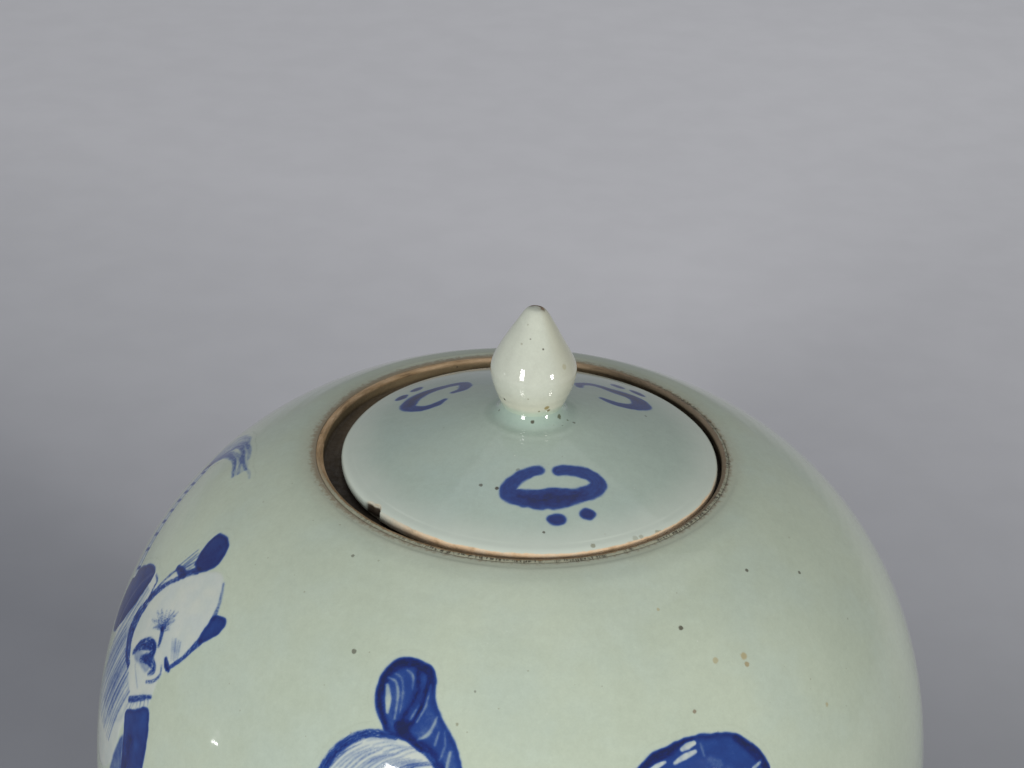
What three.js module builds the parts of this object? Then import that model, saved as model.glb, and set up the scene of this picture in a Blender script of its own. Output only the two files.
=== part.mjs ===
// Ginger jar: a globular porcelain jar with a domed lid sunk into its mouth.
// The jar is made the way a potter makes it: a thrown lower bowl and a thrown
// shoulder bowl joined with slip at the waist, a mouth collar with a seat
// inside it for the lid, and a foot ring under the base. The lid is a domed
// disc with a locating flange below and a bud knob on top.
// Millimetres, +Z up. The origin is the centre of the footprint on the table.

import * as THREE from 'three';

// Jar body
const BODY_RADIUS = 114;
const BODY_HEIGHT = 215;
const SHOULDER_DROP = 97.3;
const WALL = 5;
const FLOOR_THICKNESS = 8;
const SLIP_GAP = 0.3;

// How full the shoulder curve is: 2 is an ellipse, more is squarer
const SHOULDER_FULLNESS_RADIAL = 2.6;
const SHOULDER_FULLNESS_AXIAL = 2.26;

// Foot ring
const FOOT_HEIGHT = 10;
const FOOT_TOP_RADIUS = 68;
const FOOT_BOTTOM_RADIUS = 66;
const FOOT_WIDTH = 8;
const FOOT_EDGE = 0.8;

// Mouth collar and the seat inside it
const MOUTH_RADIUS = 53.5;
const MOUTH_FLAT_WIDTH = 3.9;
const LIP_WIDTH = 1.8;
const LIP_ROUND = 0.6;
const COLLAR_WIDTH = 16.5;
const SEAT_WIDTH = 6.8;
const SEAT_THICKNESS = 4.5;

// Lid: it has slid across its seat until one side is close to the mouth's wall
const LID_CLEARANCE = 2.8;
const LID_NEAR_GAP = 0.44;
const LID_SLIDE_DEGREES = -36.4;
const LID_SUNK = 0;
const LID_EDGE_THICKNESS = 3.6;
const LID_EDGE_ROUND = 1.2;
const LID_RISE = 14.2;
const LID_DOME_POWER = 1.25;
const LID_WALL = 4;
const SEAT_GAP = 0.3;

// Locating flange under the lid
const FLANGE_EXTRA_CLEARANCE = 0.6;
const FLANGE_WIDTH = 3;
const FLANGE_DEPTH = 9;

// Bud knob
const KNOB_RADIUS = 11.1;
const KNOB_HEIGHT = 28.1;
const KNOB_NECK_RADIUS = 7.8;
const KNOB_FILLET = 3.2;

// Facets round each turned piece
const FACETS = 72;
const CURVE_STEPS = 12;

// Sizes that follow from the ones above
const WAIST_Z = BODY_HEIGHT - SHOULDER_DROP;
const MOUTH_FLAT_RADIUS = MOUTH_RADIUS + MOUTH_FLAT_WIDTH;
const MOUTH_RATIO = (MOUTH_FLAT_RADIUS / BODY_RADIUS) ** SHOULDER_FULLNESS_RADIAL;
const SHOULDER_RISE = SHOULDER_DROP / (1 - MOUTH_RATIO) ** (1 / SHOULDER_FULLNESS_AXIAL);
const FOOT_RATIO = FOOT_TOP_RADIUS / BODY_RADIUS;
const BOWL_DROP = (WAIST_Z - FOOT_HEIGHT) / Math.sqrt(1 - FOOT_RATIO ** 2);
const COLLAR_RADIUS = MOUTH_RADIUS + COLLAR_WIDTH;
const MOUTH_INNER_RADIUS = MOUTH_RADIUS - LIP_WIDTH;
const SEAT_INNER_RADIUS = MOUTH_INNER_RADIUS - SEAT_WIDTH;
const LID_RADIUS = MOUTH_INNER_RADIUS - LID_CLEARANCE;
const LID_EDGE_Z = BODY_HEIGHT - LID_SUNK;
const LID_UNDER_Z = LID_EDGE_Z - LID_EDGE_THICKNESS;
const SEAT_Z = LID_UNDER_Z - SEAT_GAP;
const FLANGE_RADIUS = SEAT_INNER_RADIUS - LID_CLEARANCE - FLANGE_EXTRA_CLEARANCE;
const LID_SLIDE = LID_CLEARANCE - LID_NEAR_GAP;
const LID_SLIDE_ANGLE = (LID_SLIDE_DEGREES * Math.PI) / 180;

function lerp(a, b, t) {
  return a + (b - a) * t;
}

// Radius of the shoulder curve at a height, for the outside or, with an
// inset, for the inside of the wall
function shoulderRadius(z, inset) {
  const height = Math.min(Math.max((z - WAIST_Z) / (SHOULDER_RISE - inset), 0), 1);
  const squared = 1 - height ** SHOULDER_FULLNESS_AXIAL;
  return (BODY_RADIUS - inset) * squared ** (1 / SHOULDER_FULLNESS_RADIAL);
}

// Height of the shoulder curve at a radius
function shoulderHeight(r, inset) {
  const reach = Math.min(r / (BODY_RADIUS - inset), 1);
  const squared = 1 - reach ** SHOULDER_FULLNESS_RADIAL;
  return WAIST_Z + (SHOULDER_RISE - inset) * squared ** (1 / SHOULDER_FULLNESS_AXIAL);
}

// Radius of the lower bowl's curve at a height
function bowlRadius(z, inset) {
  const drop = Math.min((WAIST_Z - z) / (BOWL_DROP - inset), 1);
  return (BODY_RADIUS - inset) * Math.sqrt(1 - drop ** 2);
}

// Points along the shoulder from the waist to a given radius, evenly spaced
// by angle so that the steps follow the bend
function shoulderCurve(endRadius, inset, startZ) {
  const points = [];
  const endZ = shoulderHeight(endRadius, inset);
  const steep = 0.55;
  for (let i = 0; i <= CURVE_STEPS; i += 1) {
    const t = i / CURVE_STEPS;
    if (t <= steep) {
      const z = lerp(startZ, lerp(startZ, endZ, 0.75), t / steep);
      points.push([shoulderRadius(z, inset), z]);
    } else {
      const from = shoulderRadius(lerp(startZ, endZ, 0.75), inset);
      const r = lerp(from, endRadius, (t - steep) / (1 - steep));
      points.push([r, shoulderHeight(r, inset)]);
    }
  }
  return points;
}

// Points down the lower bowl between two heights
function bowlCurve(topZ, bottomZ, inset) {
  const points = [];
  const bend = Math.acos(Math.min((WAIST_Z - bottomZ) / (BOWL_DROP - inset), 1));
  for (let i = 0; i <= CURVE_STEPS; i += 1) {
    const angle = lerp(Math.PI / 2, bend, i / CURVE_STEPS);
    const z = WAIST_Z - (BOWL_DROP - inset) * Math.cos(angle) - (WAIST_Z - topZ) * (1 - i / CURVE_STEPS);
    points.push([bowlRadius(z, inset), z]);
  }
  return points;
}

// Points on a quarter round, from one direction to the next
function quarterRound(centreR, centreZ, radius, fromAngle, toAngle, steps) {
  const points = [];
  for (let i = 0; i <= steps; i += 1) {
    const angle = lerp(fromAngle, toAngle, i / steps);
    points.push([centreR + radius * Math.cos(angle), centreZ + radius * Math.sin(angle)]);
  }
  return points;
}

// A turned solid from a profile that runs anticlockwise in the (r, z) plane
function turned(profile) {
  const points = profile.map(([r, z]) => new THREE.Vector2(r, z));
  if (profile[0][0] > 0) {
    points.push(points[0].clone());
  }
  const geometry = new THREE.LatheGeometry(points, FACETS);
  geometry.rotateX(Math.PI / 2);
  return geometry;
}

function piece(name, profile, colour, roughness) {
  const material = new THREE.MeshStandardMaterial({ color: colour, roughness, metalness: 0 });
  const mesh = new THREE.Mesh(turned(profile), material);
  mesh.name = name;
  return mesh;
}

// Foot ring: stands on a narrow flat rim with softened edges
function footRing() {
  const inner = FOOT_BOTTOM_RADIUS - FOOT_WIDTH;
  const top = FOOT_HEIGHT - SLIP_GAP;
  return [
    [inner + FOOT_EDGE, 0],
    [FOOT_BOTTOM_RADIUS - FOOT_EDGE, 0],
    [FOOT_BOTTOM_RADIUS, FOOT_EDGE],
    [FOOT_TOP_RADIUS, top],
    [inner - 2, top],
    [inner, FOOT_EDGE],
  ];
}

// Lower bowl with the floor of the jar
function lowerBody() {
  const floorTop = FOOT_HEIGHT + FLOOR_THICKNESS;
  const top = WAIST_Z - SLIP_GAP / 2;
  const outside = bowlCurve(top, FOOT_HEIGHT, 0).reverse();
  const inside = bowlCurve(top, floorTop + 3, WALL);
  const corner = inside[inside.length - 1][0];
  return [[0, FOOT_HEIGHT], ...outside, ...inside, [corner - 5, floorTop], [0, floorTop]];
}

// Shoulder bowl from the waist up to the collar
function upperBody() {
  const bottom = WAIST_Z + SLIP_GAP / 2;
  const edge = COLLAR_RADIUS + SLIP_GAP;
  const outside = shoulderCurve(edge, 0, bottom);
  const inside = shoulderCurve(edge, WALL, bottom).reverse();
  return [...outside, ...inside];
}

// Mouth collar: outer slope that levels off beside a thin lip, the inner wall
// and the seat for the lid
function mouthCollar() {
  const slope = [];
  for (let i = 0; i <= 4; i += 1) {
    const r = lerp(COLLAR_RADIUS, MOUTH_FLAT_RADIUS, i / 4);
    const z = shoulderHeight(r, 0);
    slope.push([r, Math.min(z, BODY_HEIGHT - LIP_ROUND)]);
  }
  const lipOuter = quarterRound(
    MOUTH_RADIUS - LIP_ROUND, BODY_HEIGHT - LIP_ROUND, LIP_ROUND, 0, Math.PI / 2, 3);
  const lipInner = quarterRound(
    MOUTH_INNER_RADIUS + LIP_ROUND, BODY_HEIGHT - LIP_ROUND, LIP_ROUND, Math.PI / 2, Math.PI, 3);
  return [
    [COLLAR_RADIUS, shoulderHeight(COLLAR_RADIUS, WALL)],
    ...slope,
    ...lipOuter,
    ...lipInner,
    [MOUTH_INNER_RADIUS, SEAT_Z],
    [SEAT_INNER_RADIUS, SEAT_Z],
    [SEAT_INNER_RADIUS, SEAT_Z - SEAT_THICKNESS],
    [MOUTH_INNER_RADIUS, SEAT_Z - SEAT_THICKNESS - 1],
  ];
}

// Height of the lid's top surface at a radius from its own axis
function lidTop(r) {
  return LID_EDGE_Z + LID_RISE * (1 - (r / LID_RADIUS) ** LID_DOME_POWER);
}

function knobBase() {
  return lidTop(KNOB_NECK_RADIUS + KNOB_FILLET) + KNOB_FILLET * 0.6;
}

// Lid disc: domed top that rises to the knob's foot, domed hollow below
function lidDisc() {
  const under = [];
  const top = [];
  const hollowRadius = FLANGE_RADIUS - FLANGE_WIDTH;
  const edgeRadius = LID_RADIUS - LID_EDGE_ROUND;
  for (let i = 0; i <= 5; i += 1) {
    const r = hollowRadius * (i / 5);
    under.push([r, Math.max(lidTop(Math.max(r, KNOB_NECK_RADIUS)) - LID_WALL - 1, LID_UNDER_Z)]);
  }
  for (let i = 0; i <= 8; i += 1) {
    const r = lerp(edgeRadius, KNOB_NECK_RADIUS + KNOB_FILLET, i / 8);
    top.push([r, lidTop(r)]);
  }
  const base = knobBase() - SLIP_GAP;
  return [
    ...under,
    [hollowRadius, LID_UNDER_Z],
    [edgeRadius + LID_EDGE_ROUND / 2, LID_UNDER_Z],
    [LID_RADIUS, LID_UNDER_Z + LID_EDGE_ROUND / 2],
    [LID_RADIUS, LID_EDGE_Z - LID_EDGE_ROUND],
    [LID_RADIUS - LID_EDGE_ROUND / 3, LID_EDGE_Z - LID_EDGE_ROUND / 3],
    ...top,
    [KNOB_NECK_RADIUS + KNOB_FILLET * 0.45, lerp(lidTop(KNOB_NECK_RADIUS + KNOB_FILLET), base, 0.35)],
    [KNOB_NECK_RADIUS + 0.2, base],
    [0, base],
  ];
}

// Locating flange that drops through the seat
function lidFlange() {
  const inner = FLANGE_RADIUS - FLANGE_WIDTH;
  const top = LID_UNDER_Z - SLIP_GAP;
  return [
    [inner, top - FLANGE_DEPTH],
    [FLANGE_RADIUS - 0.6, top - FLANGE_DEPTH],
    [FLANGE_RADIUS, top - FLANGE_DEPTH + 0.6],
    [FLANGE_RADIUS, top],
    [inner, top],
  ];
}

// Bud knob: narrow neck, full belly, long taper to a small flat tip.
// Each pair is a share of the knob's radius and of its height.
const KNOB_CURVE = [
  [0.71, 0.05], [0.78, 0.1], [0.855, 0.165], [0.925, 0.235], [0.98, 0.31], [1, 0.37],
  [0.975, 0.435], [0.885, 0.52], [0.76, 0.605], [0.63, 0.69], [0.51, 0.785], [0.405, 0.86],
  [0.305, 0.93], [0.235, 0.975], [0.185, 1],
];

function lidKnob() {
  const base = knobBase();
  const curve = KNOB_CURVE.map(([r, h]) => [r * KNOB_RADIUS, base + h * KNOB_HEIGHT]);
  return [[0, base], [KNOB_NECK_RADIUS + 0.1, base], ...curve, [0, base + KNOB_HEIGHT]];
}

const jar = new THREE.Group();
jar.add(piece('foot_ring', footRing(), 0xb79a78, 0.7));
jar.add(piece('lower_body', lowerBody(), 0xc5cdc0, 0.18));
jar.add(piece('upper_body', upperBody(), 0xc5cdc0, 0.18));
jar.add(piece('mouth_collar', mouthCollar(), 0x8a6c4d, 0.55));

const lid = new THREE.Group();
lid.position.set(LID_SLIDE * Math.cos(LID_SLIDE_ANGLE), LID_SLIDE * Math.sin(LID_SLIDE_ANGLE), 0);
lid.add(piece('lid_disc', lidDisc(), 0xb7c6bd, 0.18));
lid.add(piece('lid_flange', lidFlange(), 0xa98c6a, 0.7));
lid.add(piece('lid_knob', lidKnob(), 0xd0d4c4, 0.2));

const gingerJar = new THREE.Group();
gingerJar.add(jar, lid);

export default gingerJar;
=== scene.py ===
"""Ginger jar: celadon glaze with cobalt and white-slip brushwork, bare brown lip, sunk lid with a bud knob.

Lengths are in millimetres until a mesh is made, and the origin is the centre of the footprint.
"""

import math

import bpy
import numpy as np
from mathutils import Matrix, Vector


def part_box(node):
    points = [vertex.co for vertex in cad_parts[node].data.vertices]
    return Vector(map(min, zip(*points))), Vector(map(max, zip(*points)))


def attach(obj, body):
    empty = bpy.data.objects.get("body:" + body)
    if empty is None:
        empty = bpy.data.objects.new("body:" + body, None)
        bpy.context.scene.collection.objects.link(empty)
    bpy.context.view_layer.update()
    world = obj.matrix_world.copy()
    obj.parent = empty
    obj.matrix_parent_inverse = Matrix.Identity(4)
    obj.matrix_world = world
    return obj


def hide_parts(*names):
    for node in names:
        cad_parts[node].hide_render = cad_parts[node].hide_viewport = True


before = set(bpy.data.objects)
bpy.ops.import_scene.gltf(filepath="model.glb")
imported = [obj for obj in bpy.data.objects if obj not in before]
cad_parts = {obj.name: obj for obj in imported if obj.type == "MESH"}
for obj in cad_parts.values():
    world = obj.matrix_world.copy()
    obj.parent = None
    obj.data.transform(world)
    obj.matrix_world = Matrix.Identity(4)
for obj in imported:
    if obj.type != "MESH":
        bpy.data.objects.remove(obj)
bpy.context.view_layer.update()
MM = 0.001


def box_mm(node):
    """The low and high corners of a CAD node's box, in mm."""
    low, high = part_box(node)
    return np.array(low) / MM, np.array(high) / MM


# ---------------------------------------------------------------- sizes
SHOULDER_BOX = box_mm("upper_body")
COLLAR_BOX = box_mm("mouth_collar")
DISC_BOX = box_mm("lid_disc")
FLANGE_BOX = box_mm("lid_flange")
KNOB_BOX = box_mm("lid_knob")
FOOT_BOX = box_mm("foot_ring")
SKIN = 0.05  # the finished surface stays this far inside the CAD's outermost size
JOINT_GAP = 0.3  # between neighbouring solids of the CAD

BODY_RADIUS = SHOULDER_BOX[1][0] - SKIN
WAIST_Z = SHOULDER_BOX[0][2] - JOINT_GAP / 2
RIM_Z = COLLAR_BOX[1][2]
SHOULDER_DROP = RIM_Z - WAIST_Z
RADIAL_POWER = 2.6
AXIAL_POWER = 2.26
MOUTH_FLAT_RADIUS = 57.4  # where the shoulder's curve reaches the height of the rim
MOUTH_RADIUS = 53.5
MOUTH_INNER = 51.7
WALL = 5.0
FOOT_HEIGHT = 10.0
FOOT_TOP_RADIUS = FOOT_BOX[1][0]
FOOT_BOTTOM_RADIUS = 66.0
FOOT_WIDTH = 8.0
FLOOR_TOP = 18.0
INNER_TOP = 203.0  # where the smooth inner wall ends below the lip

LID_X, LID_Y = (DISC_BOX[0][:2] + DISC_BOX[1][:2]) / 2
LID_RADIUS = (DISC_BOX[1][0] - DISC_BOX[0][0]) / 2
LID_EDGE_Z = RIM_Z
LID_UNDER_Z = DISC_BOX[0][2]
LID_RISE = 14.2
LID_POWER = 1.25
SEAT_Z = LID_UNDER_Z - JOINT_GAP
SEAT_INNER = 44.9
FLANGE_RADIUS = (FLANGE_BOX[1][0] - FLANGE_BOX[0][0]) / 2
KNOB_TOP_Z = KNOB_BOX[1][2]
KNOB_BASE_Z = KNOB_BOX[0][2]
NECK_FILLET_RADIUS = 10.6  # where the lid's dome starts to rise to the knob

MOUTH_SHARE = (MOUTH_FLAT_RADIUS / BODY_RADIUS) ** RADIAL_POWER
SHOULDER_RISE = SHOULDER_DROP / (1 - MOUTH_SHARE) ** (1 / AXIAL_POWER)
BOWL_DROP = (WAIST_Z - FOOT_HEIGHT) / math.sqrt(1 - (FOOT_TOP_RADIUS / BODY_RADIUS) ** 2)


# ---------------------------------------------------------------- the body's surface
def body_radius(z, inset=0.0):
    """Radius of the jar's wall at a height, outside or inset into the wall."""
    z = np.asarray(z, float)
    height = np.clip((z - WAIST_Z) / (SHOULDER_RISE - inset), 0, 1)
    drop = np.clip((WAIST_Z - z) / (BOWL_DROP - inset), 0, 1)
    shoulder = (1 - height**AXIAL_POWER) ** (1 / RADIAL_POWER)
    bowl = np.sqrt(1 - drop**2)
    return (BODY_RADIUS - inset) * np.where(z > WAIST_Z, shoulder, bowl)


_heights = np.linspace(FOOT_HEIGHT, RIM_Z, 6000)
_radii = body_radius(_heights)
_lengths = np.concatenate([[0], np.cumsum(np.hypot(np.diff(_heights), np.diff(_radii)))])
_lengths -= np.interp(WAIST_Z, _heights, _lengths)


def height_at(s):
    """Height of a point s mm up the outside of the wall from the waist."""
    return np.interp(s, _lengths, _heights)


def hand_wobble(angle, z):
    """How far the thrown wall lies inside the true circle, in mm: it is fullest on the left."""
    slow = 0.24 * (1 + np.cos(angle)) + 0.05 * (1 + np.sin(3 * angle - 1.1 + z * 0.012))
    return slow * np.clip((RIM_Z - z) / 25, 0, 1)


def body_point(angle, s, lift):
    """A point on the outside of the jar, raised by lift mm along its normal."""
    z = height_at(s)
    step = 0.4
    z_up, z_down = height_at(s + step), height_at(s - step)
    dz = z_up - z_down
    dr = body_radius(z_up) - body_radius(z_down)
    length = np.hypot(dz, dr)
    r = body_radius(z) - hand_wobble(angle, z) + lift * dz / length
    z = z - lift * dr / length
    return np.stack([r * np.cos(angle), r * np.sin(angle), z], -1)


# ---------------------------------------------------------------- mesh helpers
def add_mesh(name, vertices, faces):
    """A new smooth-shaded object from mm vertices."""
    mesh = bpy.data.meshes.new(name)
    mesh.from_pydata((np.asarray(vertices) * MM).tolist(), [], faces)
    mesh.validate()
    mesh.polygons.foreach_set("use_smooth", [True] * len(mesh.polygons))
    mesh.update()
    piece = bpy.data.objects.new(name, mesh)
    bpy.context.collection.objects.link(piece)
    return piece


def add_layers(piece, layers):
    """Stores painted layers on a mesh, one value for each vertex."""
    for layer, values in layers:
        attribute = piece.data.attributes.new(layer, "FLOAT", "POINT")
        attribute.data.foreach_set("value", values.astype(np.float32))


def ring_faces(rows, columns, closed):
    """Quads between neighbouring rings of vertices, facing out when the profile runs anticlockwise."""
    i = np.arange(rows if closed else rows - 1)[:, None]
    j = np.arange(columns)[None, :]
    i_next = (i + 1) % rows
    j_next = (j + 1) % columns
    quads = np.stack(
        [i * columns + j, i * columns + j_next, i_next * columns + j_next, i_next * columns + j], -1
    )
    return quads.reshape(-1, 4)


def turned(name, profile, columns, shape=None):
    """A turned solid: a profile of (r, z) points that closes on itself, or starts and ends on the axis."""
    profile = np.asarray(profile, float)
    on_axis = profile[0, 0] < 1e-6
    rings = profile[1:-1] if on_axis else profile
    angles = np.linspace(0, 2 * math.pi, columns, endpoint=False)
    r, angle = np.meshgrid(rings[:, 0], angles, indexing="ij")
    z = np.repeat(rings[:, 1][:, None], columns, 1)
    if shape is not None:
        r, z = shape(r, z, angle)
    vertices = np.stack([r * np.cos(angle), r * np.sin(angle), z], -1).reshape(-1, 3)
    faces = ring_faces(len(rings), columns, not on_axis).tolist()
    if on_axis:
        first, last = len(vertices), len(vertices) + 1
        vertices = np.vstack([vertices, [0, 0, profile[0, 1]], [0, 0, profile[-1, 1]]])
        top = (len(rings) - 1) * columns
        for j in range(columns):
            k = (j + 1) % columns
            faces.append([first, k, j])
            faces.append([last, top + j, top + k])
    return add_mesh(name, vertices, faces)


def spread(points, spacing):
    """Adds points along a polyline so that none are further apart than spacing."""
    points = np.asarray(points, float)
    out = [points[0]]
    for a, b in zip(points[:-1], points[1:]):
        count = max(1, int(math.ceil(np.hypot(*(b - a)) / spacing)))
        out.extend(a + (b - a) * (k / count) for k in range(1, count + 1))
    return np.array(out)


def rounded(points, spacing, passes):
    """Evenly spaced points along a polyline with its corners softened."""
    line = spread(points, spacing)
    for _ in range(passes):
        line[1:-1] = (line[:-2] + 2 * line[1:-1] + line[2:]) / 4
    return line


def smooth_curve(points, count, closed=False):
    """A smooth curve through a few given points."""
    points = np.asarray(points, float)
    n = len(points)
    spans = n if closed else n - 1
    t = np.linspace(0, spans, count, endpoint=not closed)
    k = np.minimum(t.astype(int), spans - 1)
    f = (t - k)[:, None]

    def pick(offset):
        index = k + offset
        return points[index % n] if closed else points[np.clip(index, 0, n - 1)]

    a, b, c, d = pick(-1), pick(0), pick(1), pick(2)
    return 0.5 * (
        2 * b + (c - a) * f + (2 * a - 5 * b + 4 * c - d) * f**2 + (3 * b - a - 3 * c + d) * f**3
    )


# ---------------------------------------------------------------- painting
NOISE_CELLS = 64  # the noise repeats after this many cells
NOISE_SHIFT = 1000  # keeps the cells' numbers positive


def value_noise(x, y, size, seed):
    """Smooth noise from 0 to 1 with features of about size mm."""
    table = np.random.default_rng(seed).random((NOISE_CELLS, NOISE_CELLS))
    x = x / size + NOISE_SHIFT
    y = y / size + NOISE_SHIFT
    xi = np.floor(x).astype(int)
    yi = np.floor(y).astype(int)
    fx = x - xi
    fy = y - yi
    fx = fx * fx * (3 - 2 * fx)
    fy = fy * fy * (3 - 2 * fy)

    def row(yk):
        left = table[xi % NOISE_CELLS, yk % NOISE_CELLS]
        right = table[(xi + 1) % NOISE_CELLS, yk % NOISE_CELLS]
        return left * (1 - fx) + right * fx

    return row(yi) * (1 - fy) + row(yi + 1) * fy


def softened(grid, passes):
    """A grid with each inner value averaged with its four neighbours."""
    for _ in range(passes):
        grid[1:-1, 1:-1] = (
            grid[1:-1, 1:-1] * 4 + grid[:-2, 1:-1] + grid[2:, 1:-1] + grid[1:-1, :-2] + grid[1:-1, 2:]
        ) / 8
    return grid


def ease(x, low, high):
    """0 below low, 1 above high and a smooth step between them."""
    t = np.clip((x - low) / (high - low), 0, 1)
    return t * t * (3 - 2 * t)


class Canvas:
    """Layers of cobalt and white slip, from 0 to 1, sampled at points (x, y) in mm."""

    HALO = 1.6  # how far the cobalt bleeds into the glaze, in mm
    BLUR = 1.55  # how much softer every edge gets under the glaze
    BLEED = 0.17  # how strong the bleeding edge is
    SLIP_SOFT = 1.0  # width of the slip's edge, in mm
    SLIP_SEED = 5
    LIFT_SEED = 9

    def __init__(self, x, y):
        self.x, self.y = x, y
        self.cobalt = np.zeros_like(x)
        self.slip = np.zeros_like(x)

    def _near(self, line, reach):
        low, high = line.min(0) - reach, line.max(0) + reach
        return (self.x > low[0]) & (self.x < high[0]) & (self.y > low[1]) & (self.y < high[1])

    @staticmethod
    def _to_line(px, py, line):
        """Distance, signed side and position along a polyline for each point."""
        best = np.full(px.shape, 1e9)
        side = np.zeros(px.shape)
        along = np.zeros(px.shape)
        lengths = np.hypot(*(line[1:] - line[:-1]).T)
        total = lengths.sum() + 1e-9
        run = 0.0
        for (ax, ay), (bx, by), length in zip(line[:-1], line[1:], lengths):
            dx, dy = bx - ax, by - ay
            t = np.clip(((px - ax) * dx + (py - ay) * dy) / (length**2 + 1e-12), 0, 1)
            ox, oy = px - ax - t * dx, py - ay - t * dy
            d = np.hypot(ox, oy)
            closer = d < best
            best = np.where(closer, d, best)
            side = np.where(closer, np.sign(dx * oy - dy * ox), side)
            along = np.where(closer, (run + t * length) / total, along)
            run += length
        return best, side, along, total

    def _lay(self, mask, density, halo):
        """Adds ink: a wet stroke deepens what is under it a little, its bleeding edge does not."""
        old = self.cobalt[mask]
        laid = np.maximum(old, density) + 0.25 * np.minimum(old, density)
        self.cobalt[mask] = np.clip(np.maximum(laid, halo), 0, 1)

    def stroke(self, points, widths, ink, soft, streaks, seed, edge=0.12):
        """A brush stroke: its widths are set along its length, and ink pools along its edges."""
        line = smooth_curve(points, max(8, 6 * len(points)))
        mask = self._near(line, max(widths) / 2 + self.HALO + 0.5)
        px, py = self.x[mask], self.y[mask]
        d, side, along, total = self._to_line(px, py, line)
        half = np.interp(along, np.linspace(0, 1, len(widths)), widths) / 2
        half = half * (0.92 + 0.16 * value_noise(px, py, 1.6, seed))
        soft = soft * self.BLUR
        cover = 1 - ease(d, half - soft / 2, half + soft / 2)
        across = side * d / (half + 1e-6)
        fibres = value_noise(along * total, across * 6 + 50, 1.0, seed + 7)
        body = ink * (1 - streaks + streaks * 3.2 * (fibres - 0.5))
        body = body + edge * ease(np.abs(across), 0.45, 0.95)
        halo = self.BLEED * ink * (1 - ease(d - half, -0.3, self.HALO))
        self._lay(mask, cover * body, halo)

    def wash(self, points, ink, soft, seed, pool=0.12, mottled=0.2):
        """A filled shape of cobalt, darker where it pools at the edge."""
        outline = smooth_curve(points, 5 * len(points), closed=True)
        mask = self._near(outline, self.HALO + 0.5)
        px, py = self.x[mask], self.y[mask]
        depth = self._depth(px, py, outline)
        depth = depth + 0.35 * (value_noise(px, py, 1.4, seed + 2) - 0.5)
        soft = soft * self.BLUR
        cover = ease(depth, -soft / 2, soft / 2)
        tone = ink + pool * (1 - ease(depth, 0.3, 2.2))
        tone = tone - mottled * value_noise(px, py, 2.5, seed) * ease(depth, 0.2, 1.5)
        halo = self.BLEED * ink * ease(depth, -self.HALO, 0.3)
        self._lay(mask, cover * tone, halo)

    def _depth(self, px, py, outline):
        """How far inside a closed outline each point is: negative outside."""
        closed = np.vstack([outline, outline[:1]])
        d = self._to_line(px, py, closed)[0]
        inside = np.zeros(px.shape, bool)
        for (ax, ay), (bx, by) in zip(closed[:-1], closed[1:]):
            if ay == by:
                continue
            crosses = ((ay > py) != (by > py)) & (px < (bx - ax) * (py - ay) / (by - ay) + ax)
            inside ^= crosses
        return np.where(inside, d, -d)

    def white(self, points):
        """A filled shape of white slip, laid before the cobalt."""
        outline = smooth_curve(points, 5 * len(points), closed=True)
        mask = self._near(outline, 2)
        px, py = self.x[mask], self.y[mask]
        depth = self._depth(px, py, outline) + 0.3 * (value_noise(px, py, 2.0, self.SLIP_SEED) - 0.5)
        cover = ease(depth, -self.SLIP_SOFT / 2, self.SLIP_SOFT / 2)
        cover = cover * (0.8 + 0.2 * value_noise(px, py, 4.0, self.SLIP_SEED + 1))
        self.slip[mask] = np.maximum(self.slip[mask], cover)

    def lift_out(self, points, widths, amount, soft=0.7):
        """A lighter streak where the brush missed: takes cobalt away."""
        line = smooth_curve(points, max(8, 6 * len(points)))
        mask = self._near(line, max(widths) + 1)
        px, py = self.x[mask], self.y[mask]
        d, _, along, _ = self._to_line(px, py, line)
        half = np.interp(along, np.linspace(0, 1, len(widths)), widths) / 2
        cover = 1 - ease(d, half - soft / 2, half + soft / 2)
        self.cobalt[mask] *= 1 - amount * cover * (0.7 + 0.3 * value_noise(px, py, 0.8, self.LIFT_SEED))

    def hatch(self, start, end, count, width, ink, bend, seed, taper=0.35):
        """Fine parallel strokes: start and end are the first and last stroke's two ends."""
        (a0, a1), (b0, b1) = np.asarray(start, float), np.asarray(end, float)
        jitter = np.random.default_rng(seed)
        for k in range(count):
            t = k / max(1, count - 1)
            p = a0 + (b0 - a0) * t + jitter.normal(0, 0.12, 2)
            q = a1 + (b1 - a1) * t + jitter.normal(0, 0.25, 2)
            normal = np.array([-(q - p)[1], (q - p)[0]]) / (np.hypot(*(q - p)) + 1e-9)
            middle = (p + q) / 2 + normal * bend
            w = width * jitter.uniform(0.75, 1.2)
            tone = ink * jitter.uniform(0.8, 1.2)
            self.stroke([p, middle, q], [w * 0.7, w, w * taper], tone, 0.6, 0.1, seed + k, 0.05)


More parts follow.
